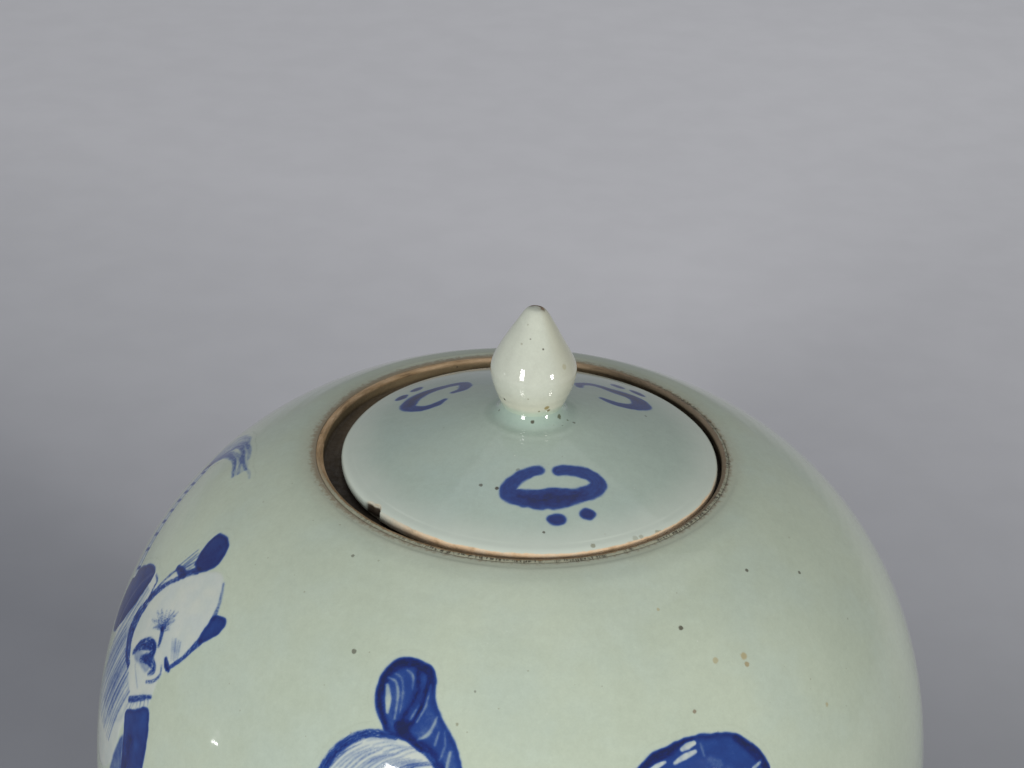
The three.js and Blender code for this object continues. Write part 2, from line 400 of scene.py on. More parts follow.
# ---------------------------------------------------------------- motifs, each in its own mm axes
def paint_gourd_knot(c):
    """A round gourd of white slip, tied at the top with a folded blue cloth."""
    c.white([(-19, -14), (-16.5, -9.5), (-12, -6.5), (-7, -5), (0, -5.5), (5, -8), (8, -12), (10, -20),
             (10, -30), (5, -40), (-4, -46), (-14, -44), (-21, -36), (-23, -25), (-22, -18)])
    c.hatch([(-20, -15.5), (-13.2, -8)], [(-1.5, -12.5), (7, -8.8)], 16, 0.75, 0.42, 0.7, 21)
    c.hatch([(-12.5, -6.8), (-7.2, -5.4)], [(-3, -9.5), (3, -6.4)], 7, 0.6, 0.34, 0.4, 22)
    c.hatch([(9.5, -16), (3.5, -13)], [(5, -39), (-1, -33)], 11, 0.8, 0.4, 0.6, 23)
    c.hatch([(-22, -27), (-16, -26)], [(-11, -44), (-8, -38)], 9, 0.8, 0.38, -0.6, 24)
    c.stroke([(-4.5, -4.6), (-9, -4.9), (-13.5, -6.8), (-17.5, -10.8), (-20.3, -16), (-22.3, -24),
              (-20.5, -35), (-14, -43.5), (-5, -46.5), (4, -42), (9.5, -32), (11, -21), (9, -13),
              (6, -8), (1.5, -5.2)],
             [1.6, 2.0, 2.3, 2.2, 1.9, 1.5, 1.5, 1.8, 1.6, 1.5, 1.8, 2.4, 2.6, 2.2], 0.72, 0.9, 0.2, 31)
    c.wash([(-5.2, 13.9), (-8.2, 12.3), (-10.2, 9), (-11, 5.5), (-10.3, 2), (-8.8, -1.2), (-7, -4),
            (-3, -5), (1.5, -5.2), (5, -7.5), (7.5, -11), (9.5, -15), (12.8, -14), (12.6, -9.5), (10.6, -5),
            (7.8, -1), (5.2, 2.2), (3.2, 6), (2.4, 10), (0.9, 12.8), (-2, 13.8)], 0.62, 0.8, 33, 0.1, 0.15)
    c.stroke([(-6.8, -2.8), (-9.4, 1), (-10.1, 5.5), (-8.9, 9.8), (-6, 12.5), (-2, 12.6), (0.8, 10.5),
              (0.6, 5), (-0.8, 0), (-3.2, -2.8)], [1.4, 2, 2.2, 2.4, 2.6, 2.2, 2, 1.8, 1.6, 2.2], 0.9, 1.0,
              0.1, 35)
    c.stroke([(-2.2, 11), (-1.4, 6), (-3, 1), (-3.6, -2.2)], [1.6, 1.8, 1.4, 2.0], 0.84, 1.0, 0.1, 36)
    for points, widths, amount in (
        ([(-8.9, 6.4), (-7.9, 3.6), (-7.4, 0.4)], [1.0, 1.5, 0.8], 0.74),
        ([(-8.9, 8.2), (-6.9, 7.6), (-5.7, 4.6), (-5.3, -0.6)], [0.6, 0.8, 0.6, 0.6], 0.5),
        ([(-8, 9.6), (-5.9, 8.8), (-4.7, 5.6), (-4.4, 1)], [0.5, 0.6, 0.5, 0.4], 0.34),
        ([(-5, 11), (-3.2, 9.8), (-2.6, 6.8)], [0.5, 0.8, 0.4], 0.4),
        ([(-1.5, 0), (-0.3, 3.4)], [0.8, 0.6], 0.5),
        ([(0, -0.4), (1.2, 3.6), (1.4, 8.6)], [0.5, 0.9, 0.5], 0.5),
        ([(1.0, -4.4), (3.4, -2.4), (4.5, 1.6)], [0.7, 0.9, 0.5], 0.5),
        ([(5.3, -4.8), (5.6, -1.8)], [0.8, 0.5], 0.42),
        ([(7, -8), (7.6, -4.6), (6.9, -1.2)], [0.5, 0.7, 0.4], 0.36),
        ([(8.9, -10.5), (9.1, -6)], [0.9, 0.6], 0.46),
    ):
        c.lift_out(points, widths, amount)
    c.stroke([(-3.8, -2.2), (-1, -4.2), (2.5, -6.2)], [2.8, 2.0, 1.4], 0.9, 0.8, 0.1, 37)
    c.stroke([(11, -12), (14.5, -18), (19.5, -22), (25, -21)], [3.6, 3.2, 3.0, 0.8], 0.72, 0.7, 0.3, 39)
    c.stroke([(10.5, -13), (15, -25), (14, -33), (19, -40)], [3.2, 3.2, 2.8, 0.8], 0.7, 0.7, 0.3, 41)
    c.stroke([(-8, -22), (-5.5, -28), (-7, -35)], [0.7, 1.0, 0.5], 0.6, 0.6, 0.1, 43)
    for dx, dy, turn in ((-5, -24, 0.6), (-4, -29, -0.4), (-9, -30, 2.4), (-10, -25, 2.0), (-6, -20.5, 1.4)):
        tip = (dx + 3.2 * math.cos(turn), dy + 3.2 * math.sin(turn))
        c.stroke([(dx - 1, dy - 0.5), (dx + 0.8, dy + 0.2), tip], [0.6, 1.8, 0.4], 0.6, 0.6, 0.2,
                 int(50 + dx))


def paint_covered_bundle(c):
    """A domed blue bundle with reserved white patches, tied over a white base."""
    c.white([(-17, -3), (-10, 0), (0, 1.5), (10, -1), (16.5, -9), (17.5, -16), (16, -30), (8, -36), (-6, -36),
             (-15, -28), (-18, -12)])
    c.wash([(-17.4, -2.6), (-14.6, -0.4), (-12, 0.9), (-9.4, 1.6), (-6.6, 2.3), (-3.6, 2.7), (-0.6, 2.6),
            (3, 1.9), (6.6, 1.2), (9.8, -0.2), (12.2, -2.8), (14.6, -5.2), (16.2, -8.4), (16.6, -12),
            (14, -16), (4, -15), (-3, -13.5), (-10, -11), (-16, -8.5), (-18.2, -5)], 0.66, 0.8, 61, 0.16,
            0.12)
    c.stroke([(-17, -3), (-12.6, -0.4), (-9, 0.4), (-6.4, 1.4), (-2.6, 1.9)], [1.8, 2.4, 2.6, 1.6, 1.0],
             0.86, 0.9, 0.1, 63)
    c.stroke([(9, -1), (12.4, -4.6), (15, -9), (15.4, -13)], [1.6, 2.6, 2.4, 1.8], 0.84, 1.0, 0.1, 64)
    # patches the brush left light
    for reserved in (
        ([(-5.4, 0.3), (-3.9, 0.7), (-2.2, 1)], [1.3, 1.8, 1.3], 0.92),
        ([(-8, -2.4), (-5.6, -1.6), (-2.4, -1)], [0.9, 1.5, 1.1], 0.9),
        ([(-14.6, -3), (-12.4, -2.2), (-10.4, -1.7)], [1.0, 1.4, 0.8], 0.85),
        ([(-0.6, 0.4), (-0.3, -2.4)], [0.6, 0.8], 0.3),
        ([(1, -3.6), (3, -5.4)], [1.6, 2.2], 0.22, 1.4),
        ([(12, -9), (14.2, -8.4)], [0.9, 1.0], 0.7),
        ([(-13, -7.4), (-6, -8.6), (1, -9.6)], [0.8, 1.5, 0.8], 0.7),
        ([(5, -9.5), (9.5, -9)], [1.0, 1.4], 0.7),
    ):
        c.lift_out(*reserved)
    c.stroke([(-17, -10), (-17.8, -20), (-14.5, -29), (-6, -36), (7, -36.5), (15.5, -30), (17.5, -18),
              (16, -13)],
             [1.4, 1.6, 1.8, 1.8, 1.8, 1.8, 1.6, 1.4], 0.7, 0.7, 0.2, 65)
    c.hatch([(-15, -13), (-12.5, -26)], [(-8, -14), (-6.5, -32)], 6, 0.8, 0.4, 0.5, 66)
    c.hatch([(13.8, -17), (11.5, -28)], [(7.5, -17.5), (5.5, -32)], 6, 0.8, 0.4, -0.5, 67)
    c.stroke([(-17.5, -13), (-8, -17.5), (2, -19), (12, -18), (17, -15)], [1.8, 2.6, 3, 2.6, 1.8], 0.75,
             0.7, 0.3, 68)
    c.stroke([(0, -20), (-4, -26), (-2, -33), (-7, -40)], [3, 2.8, 2.4, 0.7], 0.7, 0.7, 0.3, 69)
    c.stroke([(2, -20), (6, -27), (4, -34), (10, -41)], [3, 2.6, 2.4, 0.7], 0.72, 0.7, 0.3, 70)


def paint_leaf_fan(c):
    """A leaf fan: white slip leaf with blue sprigs, dark lobes round it and a dark handle."""
    c.white([(-7.9, 18.8), (-3, 22.6), (0.6, 24.6), (4, 23.6), (7.7, 19.8), (9.6, 16.5), (10.2, 12),
             (9.6, 6.4), (8.2, 2.6), (5.6, -2.4), (4.2, -6), (4.8, -11), (4.4, -14), (-1, -20), (-5.4, -26),
             (-7, -36), (-12, -43), (-20, -47), (-28, -43), (-32, -33), (-34, -22), (-36, -14), (-34, -4),
             (-29, 4), (-25, 6.8), (-21.8, 6), (-18.6, 9), (-15.6, 13.6), (-13, 17)])
    # pleats below and left of the leaf
    c.wash([(-25, -9), (-18, -11.5), (-10, -15), (-7, -17.5), (-6.5, -25), (-14, -31), (-22, -36),
            (-26, -26)],
           0.24, 2.0, 84, 0.0, 0.2)
    c.hatch([(-27, -10), (-38, -38)], [(-7, -17), (-13, -36)], 18, 1.2, 0.32, -0.5, 81, 0.6)
    c.hatch([(-27.5, -3), (-37, -26)], [(-22, -8), (-28, -28)], 8, 1.1, 0.30, 0.4, 82, 0.5)
    c.hatch([(-26.4, 2.6), (-30.5, -10)], [(-23.4, 2.8), (-24, -7)], 5, 0.8, 0.36, 0.3, 83)
    c.hatch([(-19, -12), (-26, -32)], [(-11.5, -14.5), (-17, -31)], 6, 1.4, 0.38, 0.2, 80, 0.5)
    # the leaf's dark outline, with the tied neck above it
    c.stroke([(-12.4, 14.2), (-15.6, 10.4), (-18.2, 6.5), (-19.8, 3.2), (-20.6, 0), (-21.4, -3.4),
              (-21.2, -7.2), (-19.3, -9.8), (-16.6, -11.8), (-13.6, -13)],
             [1.3, 1.3, 1.5, 1.9, 2.6, 3.6, 4.6, 4.4, 3.4, 2.0], 0.78, 0.9, 0.25, 85)
    c.stroke([(-16.6, 14.2), (-18.4, 10.2), (-19.7, 5.8), (-20.8, 2.2)], [1.1, 0.9, 1.0, 1.2], 0.62, 0.7,
             0.25, 86)
    c.hatch([(-14.6, 22), (-16.9, 15.2)], [(-8, 19.6), (-11.8, 15.4)], 7, 0.8, 0.5, 0.1, 87, 0.8)
    c.stroke([(-7.4, 19.8), (-10.6, 16.8), (-12.7, 14)], [1.8, 1.7, 1.4], 0.7, 0.8, 0.2, 88)
    c.stroke([(-16.7, 14.6), (-14.2, 15.2), (-11.4, 15.8)], [1.5, 2.4, 2.0], 0.82, 0.8, 0.1, 89)
    c.stroke([(-25.4, 6.6), (-22.4, 6.5), (-21.6, 4.4), (-20.5, 2)], [0.6, 0.9, 1.0, 1.2], 0.62, 0.7, 0.2, 90)
    # dark lobes
    c.wash([(-8.2, 19.6), (-10.7, 19.7), (-12, 21.2), (-12.9, 23.7), (-13.3, 27), (-12.4, 29.2), (-9.4, 30.6),
            (-6.7, 30.6), (-4.9, 29.8), (-3.5, 27.7), (-2.9, 25.4), (-3.8, 22.8), (-6, 20.3)],
           0.84, 0.9, 91, 0.04, 0.14)
    c.wash([(-38, 1.2), (-34, 4.4), (-30.2, 6), (-27.4, 6.1), (-26.2, 4.2), (-26.6, 1), (-27.5, -3),
            (-29.6, -7.4), (-31.8, -11.6), (-34.7, -15.6), (-38.5, -19.5), (-43, -21), (-46.5, -17),
            (-46.5, -10), (-44.5, -5), (-41.5, -1.5)], 0.86, 0.8, 92, 0.06, 0.16)
    c.wash([(9.6, 16.4), (12.3, 18), (14, 18), (15.1, 16.2), (14.9, 14), (13.4, 11.2), (11.6, 8.9),
            (10.1, 9.2), (9.8, 11.7), (9.6, 14.2)], 0.66, 0.7, 93, 0.1, 0.05)
    c.stroke([(10, 16), (8.4, 19.2), (6.2, 21.8), (4.2, 23.6)], [1.6, 1.0, 0.8, 0.5], 0.5, 0.7, 0.15, 94)
    c.stroke([(11, 9.2), (10.1, 6.2), (8.9, 2.8), (7.2, 0.1), (5.4, -2.6)], [2.2, 1.4, 1.2, 1.2, 0.6], 0.74,
             0.7, 0.2, 95)
    # sprig and curling flower
    for k, (x, y) in enumerate(((-12, 3.8), (-12.2, 1.3), (-9.5, 0.6), (-10.6, 5.4), (-8, 6.6), (-6.4, 7.6),
                                (-4.8, 8.6), (-3.2, 9.3), (-2.4, 7.4), (-2.2, 4.8))):
        middle = (-5 + (x + 5) * 0.55, 3 + (y - 3) * 0.5 + 0.3)
        c.stroke([(-5, 3), middle, (x, y)], [1.0, 1.4, 0.6], 0.42, 0.8, 0.3, 100 + k)
    c.stroke([(-4.8, 3), (-3.6, 1.4), (-2.6, -0.4)], [1.8, 1.7, 1.0], 0.72, 0.8, 0.2, 111)
    c.wash([(-13, -9), (-10.4, -4.4), (-4.4, -2), (-1.4, -5), (-2.4, -8.4), (-7, -9), (-10, -10)], 0.36,
           1.4, 112, 0, 0.2)
    c.stroke([(-13.6, -9.4), (-11.2, -5.8), (-7.2, -2.8), (-4.1, -2.2), (-3.9, -4.6), (-7.6, -7.6)],
             [1.2, 2.6, 3.2, 2.8, 2.4, 1.6], 0.74, 1.0, 0.25, 113)
    c.stroke([(-5.6, -6), (-1.9, -5), (0.6, -5.6), (-0.8, -7.8)], [2.4, 2.6, 1.8, 1.0], 0.74, 1.0, 0.25, 114)
    c.hatch([(1, 4.4), (5.4, 0)], [(5, 5.4), (7.6, 1.8)], 5, 0.9, 0.34, 0.1, 115)
    c.stroke([(3.2, -0.8), (4.8, -1.6), (6.4, -2)], [1.2, 1.9, 1.0], 0.85, 0.8, 0.1, 116)
    c.stroke([(2.9, -3), (4.1, -4.8), (2.8, -7.5), (-0.4, -9.8)], [0.6, 0.9, 1.0, 0.8], 0.55, 0.7, 0.2, 117)
    c.stroke([(-9.4, -10.6), (-6.4, -12), (-3.4, -13.4)], [0.5, 0.7, 0.5], 0.3, 0.8, 0.1, 118)
    # collar and handle
    c.hatch([(-5, -18.6), (-6, -22)], [(3.6, -11.8), (4.6, -14)], 7, 0.8, 0.34, 0.1, 119)
    c.stroke([(-5.4, -18.2), (-2, -15.8), (0.6, -13.9), (4.4, -11.2)], [1.6, 1.7, 1.5, 1.0], 0.66, 0.8, 0.2,
             120)
    c.wash([(-5.2, -21.6), (-1.2, -18.6), (4.9, -14), (8.1, -17.3), (9.9, -21.6), (10.9, -28), (11.6, -36),
            (12.4, -46), (12, -54), (8.5, -57), (5, -54), (2.5, -46), (0, -38), (-1.7, -31), (-3.4, -26.3)],
           0.76, 0.8, 121, 0.06, 0.2)
    c.stroke([(1.5, -26), (2.5, -36), (6, -50)], [3, 5, 5], 0.86, 3.0, 0.1, 125, 0.0)
    c.wash([(-3.8, -27.5), (-1.6, -32), (0, -38), (-1, -44), (-5, -50), (-9, -44), (-7.6, -37)], 0.5, 1.2,
           122, 0, 0.1)
    c.stroke([(12, -55), (14, -60), (12, -66), (16, -72)], [1.2, 1.0, 1.0, 0.6], 0.7, 0.6, 0.2, 123)
    c.hatch([(14.5, -72), (10, -84)], [(18, -72), (22, -83)], 8, 1.0, 0.6, 0.2, 124)


def paint_fly_whisk(c):
    """A fly whisk: a jointed handle and a tuft of hair that falls over to one side."""
    handle = [(-3.8, 5.3), (-0.2, 1.6), (2.1, -1), (4.3, -3.8), (7.3, -7), (10.5, -10.4), (14.5, -14.6),
              (19.5, -19.5)]
    c.white([(-7, 4), (-3, -1), (2, -6), (8, -12.5), (17, -22), (20, -19.5), (11, -10.5), (5, -4.4),
             (0, 1.4), (-4, 6)])
    c.stroke(handle, [2.6, 2.6, 2.6, 2.6, 2.4], 0.3, 0.9, 0.3, 131)
    for t in np.linspace(0.04, 0.98, 9):
        x = np.interp(t * 7, range(8), [p[0] for p in handle])
        y = np.interp(t * 7, range(8), [p[1] for p in handle])
        c.stroke([(x - 1.3, y - 1.3), (x, y), (x + 1.3, y + 1.3)], [0.7, 1.1, 0.7], 0.7, 0.6, 0.1,
                 int(132 + 10 * t))
    for side, seed in ((-1.1, 142), (1.1, 143)):
        c.stroke([(x + side, y + side) for x, y in handle], [0.6, 0.6, 0.6, 0.5], 0.6, 0.6, 0.1, seed)
    c.wash([(-6, 4), (-11, 5.6), (-16, 9), (-13, 15), (-8, 19.4), (-3, 21), (2, 23), (7, 24.2), (13, 24.6),
            (14, 20.2), (7, 19.2), (2.4, 17), (-2.4, 12.8), (-4, 8.6)], 0.26, 1.6, 144, 0.0, 0.25)
    strands = (
        ([(-4.6, 5), (-4.3, 9), (-2.7, 13.2), (2.4, 17.4), (7.1, 19.4), (14.2, 20)], 0.72),
        ([(-5, 5), (-4.6, 10), (-3.5, 13.9), (2.8, 19.4), (7.5, 21.4), (14, 21.8)], 0.6),
        ([(-5.4, 5), (-5.6, 12), (-4.4, 17.2), (1.8, 20.8), (8, 22.4), (13.6, 24.2)], 0.78),
        ([(-6, 5), (-7.4, 12), (-5.8, 17.4), (-0.4, 21.8), (4, 23.6), (8, 24.2)], 0.6),
        ([(-6.2, 5), (-9, 11), (-8, 16), (-4, 20.4), (0.6, 22.2)], 0.5),
        ([(-6.6, 5), (-10.5, 10), (-10.6, 15), (-7, 19.6), (-4, 20.8)], 0.55),
        ([(-7, 5), (-12, 8.4), (-13.6, 12), (-11, 17)], 0.5),
        ([(-7, 4.6), (-12.6, 6.8), (-16.4, 9.4)], 0.55),
    )
    for k, (points, ink) in enumerate(strands):
        c.stroke(points, [1.6, 1.7, 1.6, 1.4, 0.8], 0.72 * ink, 0.9, 0.2, 150 + k)
    c.stroke([(14, 24.6), (16, 25.3), (19, 25.5)], [0.8, 0.9, 0.5], 0.28, 0.8, 0.1, 171)
    c.stroke([(-5.6, 4.4), (-5, 6.4)], [3, 2.4], 0.85, 0.9, 0.1, 172)


def paint_scroll(c):
    """Two rolled scrolls crossed and tied with a ribbon."""
    for angle, seed in ((0.55, 200), (2.45, 210)):
        ux, uy = math.cos(angle), math.sin(angle)
        nx, ny = -uy, ux

        def at(a, b):
            return (a * ux + b * nx, a * uy + b * ny)

        c.white([at(-26, -5), at(0, -5.4), at(26, -5), at(27.5, 0), at(26, 5), at(0, 5.4), at(-26, 5),
                 at(-27.5, 0)])
        c.stroke([at(-26, -5.2), at(0, -5.6), at(26, -5.2)], [1.2, 1.5, 1.2], 0.75, 0.4, 0.2, seed)
        c.stroke([at(-26, 5.2), at(0, 5.6), at(26, 5.2)], [1.2, 1.5, 1.2], 0.75, 0.4, 0.2, seed + 1)
        for end in (-26, 26):
            c.stroke([at(end, -5.2), at(end * 1.06, 0), at(end, 5.2)], [1.2, 1.6, 1.2], 0.8, 0.4, 0.2,
                     seed + 2)
            c.wash([at(end * 1.0, -2), at(end * 1.14, -1.6), at(end * 1.14, 1.6), at(end * 1.0, 2)], 0.85,
                   0.4, seed + 3)
        c.hatch([at(-24, -4.4), at(-14, -4.2)], [at(-24, -1.4), at(-15, -1.2)], 4, 0.8, 0.42, 0.1, seed + 4)
        c.hatch([at(12, 4.4), at(24, 4.2)], [at(13, 1.4), at(24, 1.2)], 4, 0.8, 0.42, 0.1, seed + 5)
    c.wash([(-5.5, 5), (0, 6.5), (5.5, 5), (6, 0), (5, -5.5), (0, -6.6), (-5.5, -5), (-6, 0)], 0.86, 0.5, 220)
    c.lift_out([(-3, 4), (-1, 0), (-3, -4)], [0.7, 1.2, 0.7], 0.6)
    c.lift_out([(2.6, 4), (3.4, 0), (2, -4)], [0.7, 1.1, 0.7], 0.5)
    c.stroke([(-4, -5), (-9, -13), (-7, -21), (-13, -28)], [3, 3.2, 2.6, 0.8], 0.75, 0.4, 0.3, 221)
    c.stroke([(4, -5), (10, -12), (8, -20), (15, -27)], [3, 3.0, 2.6, 0.8], 0.75, 0.4, 0.3, 222)
    c.stroke([(-4, 5), (-7, 11), (-2, 15), (2, 11), (-1, 7)], [2.4, 3, 2.6, 2.4, 1.6], 0.78, 0.4, 0.3, 223)
    c.stroke([(3, 5), (8, 10), (13, 9), (11, 5), (6, 4)], [2.4, 2.8, 2.6, 2.4, 1.6], 0.78, 0.4, 0.3, 224)


def paint_blossom_basket(c):
    """A round basket with a tall handle and two blossoms."""
    c.white([(-20, 2), (-17, -12), (-10, -20), (0, -22), (10, -20), (17, -12), (20, 2), (10, 5), (0, 5.5),
             (-10, 5)])
    c.stroke([(-20, 3), (-10, 5), (0, 5.6), (10, 5), (20, 3)], [2, 2.2, 2.4, 2.2, 2], 0.8, 0.4, 0.25, 230)
    c.stroke([(-20, 2), (-17.5, -11), (-10.5, -20), (0, -22.5), (10.5, -20), (17.5, -11), (20, 2)],
             [1.8, 2, 2, 2.2, 2, 2, 1.8], 0.75, 0.4, 0.25, 231)
    c.hatch([(-17, 2), (-9, -18)], [(15, 3), (17, -4)], 12, 0.8, 0.45, 0.6, 232)
    c.hatch([(17, 2), (9, -18)], [(-15, 3), (-17, -4)], 12, 0.8, 0.45, -0.6, 233)
    c.stroke([(-18, 5), (-14, 22), (0, 31), (14, 22), (18, 5)], [2, 1.8, 2, 1.8, 2], 0.78, 0.4, 0.3, 234)
    c.wash([(-12, -21), (0, -24), (12, -21), (14, -25), (0, -28), (-14, -25)], 0.85, 0.5, 235)
    for cx, cy, size, seed in ((-5, 13, 6.5, 240), (7, 14, 5.4, 260)):
        c.white([(cx - size, cy - 1), (cx - size * 0.6, cy + size * 0.8), (cx, cy + size * 1.15),
                 (cx + size * 0.6, cy + size * 0.8), (cx + size, cy - 1), (cx, cy - size * 0.7)])
        for k, turn in enumerate((0.5, 0.95, 1.4, 1.75, 2.2, 2.65)):
            tip = (cx + size * 1.1 * math.cos(turn), cy + size * 1.15 * math.sin(turn) - 0.8)
            side = (cx + size * 0.75 * math.cos(turn + 0.3), cy + size * 0.7 * math.sin(turn + 0.3))
            c.stroke([(cx, cy - size * 0.5), side, tip], [0.6, 1.4, 0.6], 0.6, 0.3, 0.2, seed + k)
    for x, y, turn, seed in ((-12, 8.5, 2.8, 270), (13, 8.5, 0.35, 271), (0, 8, 1.5, 272)):
        tip = (x + 6 * math.cos(turn), y + 6 * math.sin(turn))
        c.stroke([(x, y), ((x + tip[0]) / 2, (y + tip[1]) / 2 + 1), tip], [1.2, 3.4, 0.6], 0.75, 0.4, 0.2,
                 seed)


def paint_linked_lozenges(c):
    """A pair of linked lozenges with trailing ribbons."""
    for cx, cy, seed in ((-7, 3, 300), (7, -2, 320)):
        outer = [(cx - 12, cy), (cx, cy + 10), (cx + 12, cy), (cx, cy - 10)]
        inner = [(cx - 6, cy), (cx, cy + 5), (cx + 6, cy), (cx, cy - 5)]
        c.white([(cx - 12.5, cy), (cx - 6, cy + 5.6), (cx, cy + 10.5), (cx + 6, cy + 5.6), (cx + 12.5, cy),
                 (cx + 6, cy - 5.6), (cx, cy - 10.5), (cx - 6, cy - 5.6)])
        for k in range(4):
            a, b = np.array(outer[k]), np.array(outer[(k + 1) % 4])
            c.stroke([a, (a + b) / 2, b], [1.7, 1.9, 1.7], 0.78, 0.4, 0.2, seed + k)
            a, b = np.array(inner[k]), np.array(inner[(k + 1) % 4])
            c.stroke([a, (a + b) / 2, b], [1.1, 1.3, 1.1], 0.7, 0.35, 0.2, seed + 5 + k)
        c.hatch([(cx - 11, cy), (cx - 6.5, cy)], [(cx - 1, cy + 9), (cx - 0.5, cy + 5.6)], 7, 0.8, 0.45,
                0.1, seed + 10)
        c.hatch([(cx + 11, cy), (cx + 6.5, cy)], [(cx + 1, cy - 9), (cx + 0.5, cy - 5.6)], 7, 0.8, 0.45,
                0.1, seed + 11)
    c.stroke([(0, 10), (-4, 18), (4, 23), (10, 17), (3, 12), (-6, 14), (-14, 20), (-22, 18)],
             [2, 3, 3.4, 3, 2.4, 2.8, 3, 0.8], 0.75, 0.4, 0.3, 340)
    c.stroke([(2, 11), (12, 14), (19, 10), (26, 14)], [2.2, 3, 2.8, 0.8], 0.75, 0.4, 0.3, 341)
    c.stroke([(-2, -10), (-8, -17), (-3, -23), (-10, -30)], [2.4, 3, 2.6, 0.8], 0.75, 0.4, 0.3, 342)
    c.stroke([(3, -11), (12, -15), (17, -22), (25, -21)], [2.4, 3, 2.6, 0.8], 0.75, 0.4, 0.3, 343)


def paint_lid_mark(c, curl, widths, dots, seed):
    """One open curl with two dots on the lid, drawn about the lid's axis."""
    c.stroke(curl, widths, 0.74, 1.0, 0.08, seed, 0.0)
    middle = len(curl) // 2
    c.stroke(curl[middle - 3: middle + 2], [2.0, 3.4, 4.0, 3.2, 2.0], 0.82, 2.0, 0.08, seed + 1, 0.0)
    for x, y, half_length, half_width in dots:
        turn = math.atan2(y, x)
        along, across = (-math.sin(turn), math.cos(turn)), (math.cos(turn), math.sin(turn))
        ring = [(x + half_length * math.cos(a) * along[0] + half_width * math.sin(a) * across[0],
                 y + half_length * math.cos(a) * along[1] + half_width * math.sin(a) * across[1])
                for a in np.linspace(0, 5.5, 8)]
        c.wash(ring, 0.84, 1.0, seed + 4, 0.0, 0.1)


LID_MARKS = (
    ([(2.3, -23.3), (0, -24.2), (-2.8, -26.2), (-4.8, -28.6), (-4.9, -31), (-1.8, -32.2), (2, -32.5),
      (6, -31.9), (9.8, -31), (13, -29.6), (16.2, -27.4), (17.2, -24.8), (15, -22.8), (12, -22.2),
      (9, -22.4), (7.2, -23)],
     [3.0, 3.4, 3.8, 4.2, 4.9, 5.4, 6.2, 6.8, 6.2, 4.6, 4.4, 4.4, 4.2, 3.8, 3.6, 3.2],
     ((7, -38.2, 2.4, 1.7), (14.5, -35.4, 2.0, 1.7))),
    ([(-23, 13.1), (-25, 10.9), (-27.6, 10), (-29.9, 10.4), (-31.8, 12), (-32.6, 14), (-32, 17), (-31, 19.2),
      (-28.8, 21.8), (-26.2, 23.6), (-23.6, 24.8), (-21, 25.6), (-18.6, 25.4), (-17.8, 22.6), (-18.6, 19.6),
      (-20.8, 18)],
     [1.6, 2.8, 3.0, 3.2, 3.8, 4.6, 4.2, 3.6, 3.4, 3.0, 2.8, 2.8, 3.2, 3.4, 3.0, 1.8],
     ((-34.8, 22.2, 2.0, 1.3), (-31.2, 27.3, 1.9, 1.2))),
    ([(12.6, 23.4), (12.6, 26.4), (14.8, 28.4), (17, 28.6), (19.4, 27.6), (21.8, 26.4), (24.2, 25.6),
      (26.6, 24.6), (28.6, 22.6), (29, 19.4), (27.6, 16.8), (25.4, 15.4), (23, 14.8), (20.6, 15.2),
      (18.6, 16.2)],
     [1.8, 2.6, 2.6, 2.8, 2.8, 3.0, 3.4, 4.4, 5.4, 5.6, 4.6, 3.6, 3.2, 3.0, 1.8],
     ((23.2, 33, 2.2, 1.2), (28.4, 30.4, 2.6, 1.2))),
)


